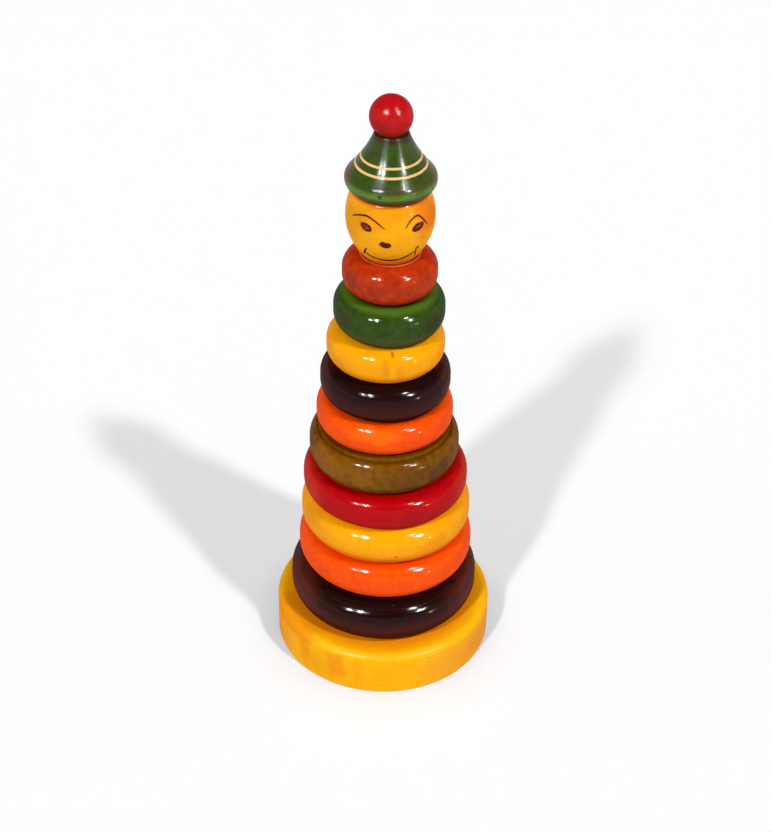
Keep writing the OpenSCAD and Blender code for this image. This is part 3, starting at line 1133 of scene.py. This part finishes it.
@dataclass
class TurnedRing(TurnedPiece):
    """One ring of the stack: a disc with fully rounded edges and a hole for the peg.

    The shoulder reaches inwards as far as its circle's radius, or by another share of it.
    """

    roundness: float = 0.42
    shoulder: float = 1.0
    hole_radius: float = 6.8
    hole_bevel: float = 0.8
    groove: Groove | None = None
    point_spacing: float = 0.5

    def build(self, trees: Trees) -> Piece:
        """Turns the ring.

        Args:
            trees: The node trees.

        Returns:
            The ring's mesh object.
        """
        thick = self.high.z - self.low.z
        edge = self.roundness * thick
        groove = self.groove or Groove(deep=0.0, step=0.0)
        sizes = {
            "Outer radius": self.outer, "Thickness": thick, "Edge radius": edge,
            "Shoulder reach": edge * self.shoulder, "Hole radius": self.hole_radius,
            "Hole bevel": self.hole_bevel, "Underside": self.low.z, "Point spacing": self.point_spacing,
            "Groove inset": groove.inset, "Groove half width": groove.half_width,
            "Groove depth": groove.deep, "Groove step": groove.step}
        in_metres = {name: size * MM for name, size in sizes.items()}
        return bake(self.node + "_wood", bpy.data.meshes.new("empty"), trees.ring,
                    {**in_metres, **self.sweep_values()})


@dataclass
class Base(TurnedPiece):
    """The thick disc that the toy stands on, with a blind socket for the peg."""

    top_edge: float = 3.8
    foot_edge: float = 1.0
    socket_radius: float = 6.05
    socket_floor: float = 6.0
    soften: float = 0.3

    def outline(self) -> Outline:
        """Draws half the base's outline, with heights measured from the table."""
        top = self.high.z
        shoulder = (self.outer - self.top_edge, top - self.top_edge)
        drawn = Outline().line((0, self.socket_floor), (self.socket_radius, self.socket_floor),
                               (self.socket_radius, top), (shoulder[0], top), soften=self.soften)
        drawn.arc(shoulder, self.top_edge, 90, 0)
        drawn.arc((self.outer - self.foot_edge, self.foot_edge), self.foot_edge, 0, -90)
        return drawn.line((0, 0))


@dataclass
class Head(TurnedPiece):
    """The clown's head: a barrel with a blind hole for the peg and a socket for the hat."""

    widest: float = 18.0
    curve_radius: float = 25.9
    hole_radius: float = 6.5
    hole_deep: float = 19.0
    hole_bevel: float = 0.6
    web: float = 3.0
    socket_radius: float = 4.55
    edge: float = 0.5
    soften_top: float = 0.25
    soften_foot: float = 0.3
    point_step: float = 0.45

    def barrel(self) -> Point:
        """Gives the middle of the barrel's arc, as distance from the axis and height over the table."""
        return self.outer - self.curve_radius, self.low.z + self.widest

    def angle(self, up: float) -> float:
        """Gives the arc's angle, in degrees, at a height over the table."""
        return math.degrees(math.asin((up - self.barrel()[1]) / self.curve_radius))

    def on_arc(self, angle: float, lift: float = 0.0) -> Point:
        """Finds a point of the barrel's side.

        Args:
            angle: The arc's angle, in radians.
            lift: How far it stands proud of the wood.

        Returns:
            Its distance from the axis and its height over the table.
        """
        out, up = self.barrel()
        reach = self.curve_radius + lift
        return out + reach * math.cos(angle), up + reach * math.sin(angle)

    def on_surface(self, x: float, up: float, lift: float = 0.0) -> Vector:
        """Finds a place on the front of the head.

        Args:
            x: How far it lies to the right, in millimetres.
            up: Its height over the head's bottom.
            lift: How far it stands proud of the wood.

        Returns:
            The place, in metres.
        """
        angle = math.radians(self.angle(self.low.z + up))
        turn = math.asin(x / self.on_arc(angle)[0])
        out, height = self.on_arc(angle, lift)
        return Vector((out * math.sin(turn), -out * math.cos(turn), height)) * MM

    def outline(self) -> Outline:
        """Draws half the head's outline, with heights measured from the table.

        Returns:
            The outline.
        """
        low, high = self.low.z, self.high.z
        floor = low + self.hole_deep + self.web
        top_out = self.on_arc(math.radians(self.angle(high)))[0]
        foot_out = self.on_arc(math.radians(self.angle(low)))[0]
        drawn = Outline(self.point_step).line(
            (0, floor), (self.socket_radius, floor), (self.socket_radius, high), (top_out, high),
            soften=self.soften_top)
        # Without the corner itself, the barrel's upper edge is rounded off.
        drawn.points.pop()
        drawn.arc(self.barrel(), self.curve_radius, self.angle(high - self.edge), self.angle(low + self.edge))
        return drawn.line(
            (foot_out, low), (self.hole_radius + self.hole_bevel, low),
            (self.hole_radius, low + self.hole_bevel), (self.hole_radius, low + self.hole_deep),
            (0, low + self.hole_deep), soften=self.soften_foot)


@dataclass
class Hat(TurnedPiece):
    """The pointed hat: a hollow sweep over a rolled brim, with a spigot below and a socket on top."""

    rise: float = 25.2
    roll: float = 4.9
    roll_up: float = 4.9
    top_radius: float = 7.1
    sweep: float = 50.0
    spigot_radius: float = 4.5
    socket_radius: float = 2.55
    socket_deep: float = 9.5
    soften: float = 0.25
    point_step: float = 0.45

    def underside(self) -> float:
        """Gives the height of the brim's underside over the table."""
        return self.high.z - self.rise

    def roll_middle(self) -> Point:
        """Gives the middle of the brim's roll."""
        return self.outer - self.roll, self.underside() + self.roll_up

    def sweep_middle(self) -> Point:
        """Gives the middle of the hollow sweep, whose circle touches the roll and ends at the top's rim.

        Returns:
            Its distance from the axis and its height over the table.
        """
        start, end = Vector(self.roll_middle()), Vector((self.top_radius, self.underside() + self.rise))
        way = end - start
        reach = self.roll + self.sweep
        along = (reach ** 2 - self.sweep ** 2 + way.length_squared) / (2 * way.length)
        aside = math.sqrt(reach ** 2 - along ** 2)
        step = way.normalized()
        return tuple(start + step * along + Vector((step.y, -step.x)) * aside)

    def surface(self, up: float, lift: float = 0.0) -> Point:
        """Finds a place on the sweep.

        Args:
            up: Its height over the brim's underside.
            lift: How far it stands proud of the wood.

        Returns:
            Its distance from the axis and its height over the table.
        """
        middle = self.sweep_middle()
        rise = self.underside() + up - middle[1]
        out = middle[0] - math.sqrt(self.sweep ** 2 - rise ** 2)
        share = lift / self.sweep
        return (out + (middle[0] - out) * share, self.underside() + up - rise * share)

    def outline(self) -> Outline:
        """Draws half the hat's outline, with heights measured from the table.

        Returns:
            The outline.
        """
        top, foot = self.high.z, self.underside()
        roll, sweep = self.roll_middle(), self.sweep_middle()
        rim = math.degrees(math.atan2(top - sweep[1], self.top_radius - sweep[0])) % 360
        touch = math.degrees(math.atan2(roll[1] - sweep[1], roll[0] - sweep[0])) % 360
        floor = top - self.socket_deep
        drawn = Outline(self.point_step).line(
            (0, floor), (self.socket_radius, floor), (self.socket_radius, top), (self.top_radius, top),
            soften=self.soften)
        drawn.arc(sweep, self.sweep, rim, touch)
        drawn.arc(roll, self.roll, touch - 180, -90)
        return drawn.line((self.spigot_radius, foot), (self.spigot_radius, self.low.z), (0, self.low.z),
                          soften=self.soften)


@dataclass
class Bobble(TurnedPiece):
    """The ball on top of the hat, with a flat foot and a spigot."""

    radius: float = 8.9
    foot_radius: float = 5.7
    spigot_radius: float = 2.5
    soften: float = 0.2
    point_step: float = 0.4

    def outline(self) -> Outline:
        """Draws half the bobble's outline, with heights measured from the table."""
        middle = self.high.z - self.radius
        foot = middle - math.sqrt(self.radius ** 2 - self.foot_radius ** 2)
        drawn = Outline(self.point_step).arc((0, middle), self.radius, 90,
                                             math.degrees(math.asin((foot - middle) / self.radius)))
        return drawn.line((self.spigot_radius, foot), (self.spigot_radius, self.low.z), (0, self.low.z),
                          soften=self.soften)


@dataclass
class CreamLines:
    """Two thin lines of cream lac that were held against the turning hat. Sizes are in millimetres."""

    hat: Hat
    node: str = "hat_cream_lines"
    heights: tuple[float, ...] = (11.8, 14.9)
    wide: float = 0.85
    thick: float = 0.14
    sunk: float = 0.05
    steps: int = 6
    swell_size: float = 5.0

    def make(self, trees: Trees) -> None:
        """Sweeps both lines round the hat and puts them in their solid's place.

        Args:
            trees: The node trees.
        """
        cream = Lac.CREAM.value.material()
        whole = join("hat_cream_lac", [self.band(trees, cream, height) for height in self.heights])
        put_in_place(whole, self.node, self.hat.body, self.hat.aside)

    def band(self, trees: Trees, material: Material, height: float) -> Piece:
        """Sweeps one line round the hat.

        Args:
            trees: The node trees.
            material: The cream lac.
            height: The line's height over the brim's underside.

        Returns:
            The line's mesh object.
        """
        drawn = Outline()
        for step in range(self.steps + 1):
            share = step / self.steps
            proud = self.thick * math.sqrt(max(0.0, 1 - (2 * share - 1) ** 2))
            drawn.points.append(self.hat.surface(height + self.wide * (0.5 - share), proud))
        for share in (1.0, 0.0):
            drawn.points.append(self.hat.surface(height + self.wide * (0.5 - share), -self.sunk))
        curve = drawn.curve(self.hat.path_radius, closed=True)
        return bake(f"{self.node}_{height:.0f}", curve, trees.piece, {
            "Path radius": self.hat.path_radius * MM, "Segments": self.hat.segments, "Swell": 0.0,
            "Swell size": self.swell_size * MM, "Seed": height, "Material": material})


@dataclass(frozen=True)
class Stroke:
    """A line drawn with the brush: places on the face as x and height, and the brush's width at each."""

    places: tuple[Point, ...]
    widths: tuple[float, ...]


@dataclass(frozen=True)
class Dab:
    """A spot set down with the brush: its middle, size and slant in degrees.

    A pointed shape above 1 draws an almond, and a notch pulls its upper side in at the middle, over a
    share of the spot's length. The rim is ragged by a share of its size, at a pace per millimetre.
    """

    middle: Point
    long: float
    tall: float
    slant: float = 0.0
    pointed: float = 1.0
    notch: float = 0.0
    notch_share: float = 0.16
    lift: float = 0.08
    ragged: float = 0.06
    ragged_pace: float = 1.3

    def rim(self, count: int = 40) -> list[Point]:
        """Draws the spot's rim.

        Args:
            count: How many points it has.

        Returns:
            The rim's points, as x and height on the face.
        """
        slant = math.radians(self.slant)
        rim = []
        for step in range(count):
            turn = 2 * math.pi * step / count
            side = math.sin(turn)
            across = self.long / 2 * math.cos(turn)
            rise = self.tall / 2 * math.copysign(abs(side) ** self.pointed, side)
            if side > 0:
                rise -= self.notch * math.exp(-(across / (self.notch_share * self.long)) ** 2)
            place = Vector((across * self.ragged_pace, rise * self.ragged_pace, self.middle[0]))
            shake = 1 + self.ragged * noise.noise(place)
            across, rise = across * shake, rise * shake
            rim.append((self.middle[0] + across * math.cos(slant) - rise * math.sin(slant),
                        self.middle[1] + across * math.sin(slant) + rise * math.cos(slant)))
        return rim


@dataclass
class FacePaint:
    """The face that is drawn on the head with a fine brush. Sizes are in millimetres.

    The brush fades out over a few points at each end of a stroke, and a spot is domed in a few levels.
    """

    head: Head
    lines_node: str = "face_lines"
    spots_node: str = "eye_spots"
    flatness: float = 0.3
    sunk: float = 0.06
    point_spacing: float = 0.12
    fade_points: int = 6
    dome_levels: int = 6
    strokes: tuple[Stroke, ...] = (
        Stroke(((-15.4, 22.2), (-13.6, 23.6), (-11.2, 24.6), (-9.3, 24.9), (-7.2, 24.2), (-4.8, 22.7),
                (-2.1, 20.8)), (0.55, 0.7, 0.8, 0.86, 0.8, 0.7, 0.5)),
        Stroke(((6.1, 20.6), (7.6, 22.9), (9.2, 24.4), (11.0, 24.9), (12.8, 23.2), (15.3, 19.1)),
               (0.5, 0.7, 0.8, 0.86, 0.8, 0.6)),
        Stroke(((-9.4, 9.9), (-10.1, 7.8), (-10.6, 4.8)), (0.75, 0.9, 0.8)),
        Stroke(((-10.6, 7.2), (-8.2, 5.5), (-5.4, 4.6), (-2.2, 4.1), (1.6, 4.2), (5.0, 5.0), (7.6, 6.2),
                (10.2, 7.9)), (0.9, 1.1, 1.25, 1.35, 1.35, 1.25, 1.1, 0.9)),
        Stroke(((11.6, 8.9), (11.3, 9.9), (10.7, 9.2), (10.4, 6.6), (10.2, 4.2)),
               (0.7, 0.85, 0.9, 0.85, 0.7)),
    )
    dark: tuple[Dab, ...] = (
        Dab((-9.7, 20.2), 5.0, 3.5, -24, pointed=1.35),
        Dab((11.2, 20.1), 5.1, 3.6, 22, pointed=1.35),
        Dab((-1.9, 13.3), 5.0, 3.3, -12, pointed=1.1, notch=0.5),
        Dab((-10.0, 20.5), 1.1, 1.1, lift=0.2),
        Dab((11.1, 19.6), 1.5, 1.0, 20, lift=0.2),
    )
    spots: tuple[Dab, ...] = (
        Dab((-9.6, 20.2), 2.9, 1.9, -24, pointed=1.1, lift=0.14),
        Dab((11.3, 20.3), 2.6, 1.7, 22, pointed=1.1, lift=0.14),
    )

    def make(self, trees: Trees) -> None:
        """Paints the face and puts the paint in its solids' places.

        Args:
            trees: The node trees.
        """
        brown = BrushPaint("dark brown brush paint", "#3e1005", "#862a08", coat=0.04).material()
        olive = BrushPaint("olive brown brush paint", "#6f4a1a", "#8a5f22").material()
        lines = [self.stroke(trees, brown, stroke, place) for place, stroke in enumerate(self.strokes)]
        lines += [self.dab(brown, dab, f"dab_{place}") for place, dab in enumerate(self.dark)]
        spots = [self.dab(olive, dab, f"spot_{place}") for place, dab in enumerate(self.spots)]
        for name, parts, node, slot in (("face_brush_lines", lines, self.lines_node, "face_paint"),
                                        ("eye_colour_spots", spots, self.spots_node, "eye_paint")):
            put_in_place(join(name, parts), node, self.head.body, self.head.aside)

    def stroke(self, trees: Trees, paint: Material, stroke: Stroke, place: int) -> Piece:
        """Lays one stroke on the head.

        Args:
            trees: The node trees.
            paint: The paint.
            stroke: The stroke.
            place: Its number, for its name.

        Returns:
            The stroke's mesh object.
        """
        drawn = self.smooth(stroke)
        curve = line_through([self.head.on_surface(x, up) for x, up, wide in drawn])
        for point, (x, up, wide) in zip(curve.splines[0].points, drawn):
            point.radius = wide / 2 * MM
        middle_out, middle_up = self.head.barrel()
        return bake(f"stroke_{place}", curve, trees.stroke, {
            "Point spacing": self.point_spacing * MM, "Barrel radius": self.head.curve_radius * MM,
            "Barrel middle out": middle_out * MM, "Barrel middle up": middle_up * MM,
            "Flatness": self.flatness, "Material": paint})

    def smooth(self, stroke: Stroke, steps: int = 10) -> list[tuple[float, float, float]]:
        """Draws a smooth line through a stroke's places, with both ends running out thin.

        Args:
            stroke: The stroke.
            steps: How many points lie between two places.

        Returns:
            For each point its x, height and width.
        """
        given = [(*place, wide) for place, wide in zip(stroke.places, stroke.widths)]
        given = [given[0], *given, given[-1]]
        drawn = []
        for at in range(1, len(given) - 2):
            before, start, end, after = (Vector(given[at + turn]) for turn in (-1, 0, 1, 2))
            for step in range(steps):
                t = step / steps
                drawn.append(tuple(0.5 * (2 * start + (end - before) * t
                                          + (2 * before - 5 * start + 4 * end - after) * t ** 2
                                          + (3 * start - before - 3 * end + after) * t ** 3)))
        drawn.append(given[-1])
        for step in range(self.fade_points):
            share = math.sqrt((step + 0.5) / self.fade_points)
            for place in (step, -1 - step):
                x, up, wide = drawn[place]
                drawn[place] = (x, up, wide * share)
        return drawn

    def dab(self, paint: Material, dab: Dab, name: str) -> Piece:
        """Sets one spot down on the head, domed in the middle and thin at the rim.

        Args:
            paint: The paint.
            dab: The spot.
            name: The mesh's name.

        Returns:
            The spot's mesh object.
        """
        work = bmesh.new()
        rim = dab.rim()
        middle_x, middle_up = dab.middle
        rings = [[work.verts.new(self.head.on_surface(x, up, -self.sunk)) for x, up in rim]]
        for level in range(self.dome_levels):
            share = 1 - level / self.dome_levels
            proud = dab.lift * math.sqrt(1 - share ** 2)
            rings.append([work.verts.new(self.head.on_surface(
                middle_x + (x - middle_x) * share, middle_up + (up - middle_up) * share, proud))
                for x, up in rim])
        top = work.verts.new(self.head.on_surface(*dab.middle, dab.lift))
        bottom = work.verts.new(self.head.on_surface(*dab.middle, -self.sunk))
        sides = [(at, (at + 1) % len(rim)) for at in range(len(rim))]
        for outer, inner in zip(rings, rings[1:]):
            for at, after in sides:
                work.faces.new((outer[at], outer[after], inner[after], inner[at]))
        for at, after in sides:
            work.faces.new((rings[-1][at], rings[-1][after], top))
            work.faces.new((rings[0][after], rings[0][at], bottom))
        return closed_piece(name, mesh_of(work, name, paint))


@dataclass
class Peg:
    """The dowel inside the stack, which shows when the rings are lifted. Its solid stays as it is."""

    node: str = "peg"
    finish: BareWood = BareWood()

    def make(self) -> None:
        """Gives the peg's solid its bare wood."""
        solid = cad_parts[self.node]
        solid.data.materials.clear()
        solid.data.materials.append(self.finish.material())
        LOG.info("%s: keeps its solid, in bare wood", self.node)


class RingStack:
    """The ten rings, from the bottom up."""

    # How far from the axis a ring's hole and its bevel are bare wood, in millimetres.
    BARE_WITHIN = 7.6

    def __init__(self) -> None:
        """Chooses each ring's lac, the marks that its turning and its use have left, and the shade, light and
        reflections painted onto it as bands and marks.
        """
        self.rings = [
            # Painted warm reflection: the broad band on the lower half and the patches at both sides. The
            # fine band on the shoulder is a turned line.
            self.ring("aubergine_wide", "aubergine_lac", Lac.AUBERGINE, 1, shoulder=1.5, bands=(
                Band(1.0, 15.5, 19.0, "#561a13", 0.5, 0.9), Band(3.6, 3.4, 0.6, "#6a3022", 0.15)), marks=(
                Mark(76, 0.3, 9.0, 50, 22, "#6c281e", 0.5, 0.5),
                Mark(-76, 0.3, 9.0, 50, 22, "#6c281e", 0.5, 0.5))),
            # Painted shade: the dark red band on the lower limb, and the redder band on the top under the
            # ring above.
            self.ring("orange_wide", "orange_lac", Lac.ORANGE, 2, aside=0.5, bands=(
                Band(3.0, 17.8, 6.0, "#a01405", 0.75), Band(6.5, 0.5, 10.0, "#d02c02", 0.6, 0.9))),
            # Painted shade: the deeper orange band on the lower half, and the patch at -62 degrees under the
            # ring above.
            self.ring("yellow_wide", "yellow_lac", Lac.YELLOW, 3, aside=0.5, bands=(
                Band(1.5, 15.5, 13.0, "#ea6c02", 0.8, 0.9),), marks=(
                Mark(7.2, 0.0, 11.5, 1.4, 1.2, "#8a3a06", 0.8),
                Mark(32, 0.5, 10.0, 20, 13, "#f09004", 0.5, 1.3),
                Mark(-62, 0.5, 6.0, 18, 12, "#d9920a", 0.5))),
            # Painted shade: the darker band on the lower limb. Painted warm light: the paler patches at both
            # sides.
            self.ring("crimson", "crimson_lac", Lac.CRIMSON, 4, aside=0.1, shoulder=0.75, bands=(
                Band(2.4, 15.2, 4.0, "#7a0608", 0.55),), marks=(
                Mark(22, 0.4, 9.0, 18, 8, "#a00414", 0.5),
                Mark(78, 0.3, 8.0, 34, 18, "#cc2a10", 0.5, 0.5),
                Mark(-76, 0.3, 8.0, 36, 18, "#d03a14", 0.5, 0.5))),
            # Painted shade: the dark band in the groove, and the darker inner land under the ring above.
            self.ring("olive", "olive_lac", Lac.OLIVE, 5, aside=-0.65, shoulder=0.55, groove=Groove(),
                      point_spacing=0.25, bands=(
                Band(3.7, 1.6, 2.2, "#3c2204", 0.65), Band(6.5, 0.0, 5.0, "#4e3004", 0.5),
                Band(4.2, 1.1, 3.2, "#6a4208", 0.2, 0.3, dull=0.97)), marks=(
                Mark(44, 0.2, 10.5, 16, 10, "#5a3410", 0.8),
                Mark(18, 0.2, 10.0, 20, 15, "#5c3a06", 0.5, 0.8),
                Mark(-18, 0.2, 9.5, 12, 9, "#94640a", 0.5),
                Mark(-50, 0.3, 8.5, 26, 15, "#a06804", 0.5, 0.8))),
            # Painted shade: the bands on the lower limb and on the top under the ring above. Painted light:
            # the paler patch on the front.
            self.ring("orange_narrow", "orange_lac", Lac.ORANGE, 6, aside=-0.65, shoulder=0.8, bands=(
                Band(2.2, 14.2, 4.5, "#b02405", 0.5), Band(5.5, 0.4, 6.0, "#d83202", 0.5, 0.9)), marks=(
                Mark(-8, 1.5, 4.0, 30, 8, "#ff7606", 0.6),)),
            # Painted warm reflection: the band on the lower half and the patches at both sides.
            self.ring("aubergine_narrow", "aubergine_lac", Lac.AUBERGINE, 7, aside=-0.55, bands=(
                Band(1.0, 11.5, 14.0, "#521a13", 0.45, 0.9),), marks=(
                Mark(84, 0.3, 8.0, 30, 18, "#6a2a22", 0.4, 0.5),
                Mark(-84, 0.3, 8.0, 30, 18, "#5e2018", 0.4, 0.5))),
            # Painted shade: the deeper orange band on the lower half.
            self.ring("yellow_narrow", "yellow_lac", Lac.YELLOW, 8, aside=-0.65, bands=(
                Band(1.3, 13.5, 9.0, "#f07c04", 0.6, 0.9),), marks=(
                Mark(7.2, 4.3, 0.6, 1.4, 1.3, "#c43c06", 0.65, 0.5),
                Mark(7.6, 3.4, 1.0, 1.7, 1.7, "#c43c06", 0.75, 0.5),
                Mark(8.0, 2.6, 1.7, 1.5, 1.7, "#c84a08", 0.65, 0.5),
                Mark(1.0, 0.5, 6.5, 5.0, 14, "#dc8802", 0.5),
                Mark(14, 0.4, 9.0, 5.0, 10, "#e08c02", 0.5),
                Mark(-52, 0.8, 11.0, 14, 8, "#d98a0a", 0.5))),
            # Painted light: the paler band on the top land. Painted brown reflection: the band on the lower
            # limb and the patches at both sides.
            self.ring("green", "green_lac", Lac.GREEN, 9, aside=0.65, bands=(
                Band(4.9, 0.5, 6.6, "#57781f", 0.7, 0.9), Band(1.6, 14.0, 9.0, "#565422", 0.6, 0.9)), marks=(
                Mark(52, 0.4, 9.0, 14, 12, "#34301a", 0.6),
                Mark(-58, 0.4, 9.0, 12, 10, "#40381a", 0.5))),
            # Painted shade: the darker band on the lower limb. Painted highlight: the pale pink line round
            # the head's foot.
            self.ring("brick", "brick_lac", Lac.BRICK, 10, aside=0.65, bands=(
                Band(2.6, 15.5, 4.0, "#8a2408", 0.6), Band(7.5, 0.0, 0.9, "#e89a80", 0.65, 0.8)), marks=(
                Mark(-15, 0.1, 8.5, 9, 8, "#96300f", 0.55),
                Mark(64, 0.3, 8.0, 12, 11, "#cc3a06", 0.65, 0.7),
                Mark(-40, 3.5, 1.5, 10, 6, "#a82a0a", 0.5),
                Mark(-52, 0.2, 7.0, 9, 10, "#85301a", 0.6))),
        ]

    @classmethod
    def ring(cls, name: str, slot: str, lac: Lac, seed: float, bands: tuple[Band, ...] = (),
             marks: tuple[Mark, ...] = (), **sizes) -> TurnedRing:
        """Describes one ring.

        Args:
            name: The ring's body, which is also its node's name after "ring_".
            slot: The record's material slot, which is kept but not used.
            lac: Its lac.
            seed: The number that makes its unevenness its own.
            bands: The bands round it, most of them painted shade, light or reflection.
            marks: Its stains and chips, and patches of painted shade, light or reflection.
            sizes: Sizes that differ from a plain ring's.

        Returns:
            The ring.
        """
        finish = replace(lac.value, name=f"{lac.value.name}, {name}", bare_within=cls.BARE_WITHIN,
                         bands=bands, marks=marks)
        return TurnedRing("ring_" + name, name, slot, finish, seed, **sizes)

    def make(self, trees: Trees) -> None:
        """Turns every ring and puts it on the peg."""
        for ring in self.rings:
            ring.make(trees)


# Floor, light and camera

@dataclass(frozen=True)
class Lamp:
    """A lamp far away: its bearing from the front, its elevation, its width in degrees and its strength."""

    name: str
    azimuth: float
    elevation: float
    wide: float
    strength: float
    colour: str = "#ffffff"
    gloss_only: bool = False

    def make(self) -> None:
        """Hangs the lamp."""
        light = bpy.data.lights.new(self.name, "SUN")
        light.angle = math.radians(self.wide)
        light.energy = self.strength * math.pi
        light.color = linear(self.colour)[:3]
        lamp = link(self.name, light)
        turn, rise = math.radians(self.azimuth), math.radians(self.elevation)
        way = Vector((math.sin(turn) * math.cos(rise), -math.cos(turn) * math.cos(rise), math.sin(rise)))
        lamp.rotation_euler = way.to_track_quat("Z", "Y").to_euler()
        lamp.visible_diffuse = not self.gloss_only


@dataclass
class Studio:
    """White paper and a low white backdrop all round, the lamps and the camera.

    Lengths are in metres and angles in degrees. A fade of the room says at which rise of the line of sight
    it starts and ends.
    Two soft lamps and two warm reflectors at the sides light the toy. Four windows show in its gloss only.
    The camera and the gloss see the paper lifted to white, less so near the toy, as painted contact shade.
    """

    camera_place: tuple[float, float, float] = (0.0, -0.64579, 0.59311)
    camera_fall: float = 36.14
    camera_roll: float = 0.93
    lens: float = 77.885
    sensor: float = 36.0
    view_end: float = 50.0
    floor_radius: float = 8.0
    floor_sides: int = 128
    floor_gap: float = 0.00002
    paper_colour: str = "#dcdcdc"
    paper_lift: tuple[float, float, float] = (0.275, 0.345, 0.392)
    contact_lift: tuple[float, float, float] = (0.0, 0.16, 0.28)
    contact_reach: float = 0.022
    contact_open: float = 0.45
    contact_samples: int = 12
    room_low: str = "#7a7068"
    room_high: str = "#87796e"
    room_fade: tuple[float, float] = (-0.02, 0.08)
    backdrop: str = "#ffffff"
    backdrop_fade: tuple[float, float] = (0.30, 0.24)
    lamps: tuple[Lamp, ...] = (
        Lamp("left_lamp", -29.5, 43, 3.6, 0.48),
        Lamp("right_lamp", 45, 51, 3.8, 0.46),
        Lamp("left_reflector", -85, 2, 70, 0.22, "#ffb478"),
        Lamp("right_reflector", 85, 2, 70, 0.22, "#ffb478"),
        Lamp("left_window", -28, 39, 3.0, 0.72, gloss_only=True),
        Lamp("left_side_window", -42, 37, 3.0, 0.80, gloss_only=True),
        Lamp("right_window", 48, 34, 4.5, 1.2, gloss_only=True),
        Lamp("low_right_window", 55, 3, 4.0, 0.16, "#ffe0a0", gloss_only=True),
    )

    def make(self) -> None:
        """Sets up the view, the room, the lamps, the floor and the camera."""
        bpy.context.scene.view_settings.view_transform = "Standard"
        self.make_room()
        self.make_floor()
        for lamp in self.lamps:
            lamp.make()
        self.make_camera()

    def make_camera(self) -> None:
        """Sets up the camera, which looks down at the toy from the front."""
        camera = link("camera", bpy.data.cameras.new("camera"))
        camera.data.lens = self.lens
        camera.data.sensor_width = self.sensor
        camera.data.clip_end = self.view_end
        look = Matrix.Rotation(math.radians(90 - self.camera_fall), 4, "X")
        roll = Matrix.Rotation(math.radians(self.camera_roll), 4, "Z")
        camera.matrix_world = Matrix.Translation(self.camera_place) @ look @ roll
        bpy.context.scene.camera = camera

    def make_room(self) -> None:
        """Makes a dim room, with a low white backdrop all round that the camera and the gloss see."""
        world = bpy.data.worlds.new("room")
        world.use_nodes = True
        nodes = Nodes(world.node_tree)
        way = nodes.add("ShaderNodeTexCoord").outputs["Generated"]
        rise = nodes.add("ShaderNodeSeparateXYZ", {0: way}).outputs["Z"]
        up, low = (nodes.add("ShaderNodeMapRange", {
            "Value": rise, "From Min": start, "From Max": end}).outputs[0]
            for start, end in (self.room_fade, self.backdrop_fade))
        dim = nodes.cover(self.room_low, self.room_high, up)
        colour = nodes.cover(dim, self.backdrop, nodes.reckon("MULTIPLY", low, self.seen(nodes)))
        back = nodes.add("ShaderNodeBackground", {"Color": colour, "Strength": 1.0})
        nodes.add("ShaderNodeOutputWorld", {"Surface": back})
        bpy.context.scene.world = world

    @staticmethod
    def seen(nodes: Nodes) -> Socket:
        """Tells what is seen, by the camera or in a gloss, from what only lights the toy.

        Args:
            nodes: The room's or the paper's nodes.

        Returns:
            The socket of 1 where it is seen and 0 where it lights.
        """
        ray = nodes.add("ShaderNodeLightPath").outputs
        direct = nodes.reckon("MAXIMUM", ray["Is Camera Ray"], ray["Is Glossy Ray"])
        return nodes.reckon("MAXIMUM", direct, ray["Is Transmission Ray"])

    def make_floor(self) -> None:
        """Lays the sheet of white paper, a hair below the base."""
        work = bmesh.new()
        bmesh.ops.create_circle(work, cap_ends=True, segments=self.floor_sides, radius=self.floor_radius,
                                matrix=Matrix.Translation((0, 0, -self.floor_gap)))
        link("paper_floor", mesh_of(work, "paper_floor", self.paper()))

    def paper(self) -> Material:
        """Makes the paper, matt and unprinted, lifted where it is seen as the class says.

        Returns:
            The material.
        """
        material = bpy.data.materials.new("white paper")
        material.use_nodes = True
        nodes = Nodes(material.node_tree)
        # Painted contact shade: the lift fades where the toy hides the paper's surroundings, darkening it
        # round the base.
        near = nodes.add("ShaderNodeAmbientOcclusion", {
            "Distance": self.contact_reach}, samples=self.contact_samples)
        free = nodes.add("ShaderNodeMapRange", {
            "Value": near.outputs["AO"], "From Min": self.contact_open, "From Max": 1.0})
        colour = nodes.cover((*self.contact_lift, 1), (*self.paper_lift, 1), free.outputs[0])
        lift = nodes.add("ShaderNodeEmission", {"Color": colour, "Strength": self.seen(nodes)})
        matt = nodes.add("ShaderNodeBsdfDiffuse", {"Color": linear(self.paper_colour)})
        both = nodes.add("ShaderNodeAddShader", {0: matt, 1: lift})
        nodes.add("ShaderNodeOutputMaterial", {"Surface": both})
        return material


def main() -> None:
    """Builds the studio and the toy in order."""
    logging.basicConfig(level=logging.INFO, format="%(name)s: %(message)s")
    Studio().make()
    trees = Trees()
    Base("base", "stand", "yellow_lac", BASE_FINISH, 20).make(trees)
    Peg().make()
    RingStack().make(trees)
    head = Head("head", "clown", "head_lac", HEAD_FINISH, 21, aside=0.45)
    head.make(trees)
    hat = Hat("hat", "clown", "green_lac", HAT_FINISH, 22, aside=0.45)
    hat.make(trees)
    CreamLines(hat).make(trees)
    Bobble("bobble", "clown", "bobble_lac", BOBBLE_FINISH, 23, swell=0.03, aside=0.15).make(trees)
    FacePaint(head).make(trees)


if __name__ == "__main__":
    main()
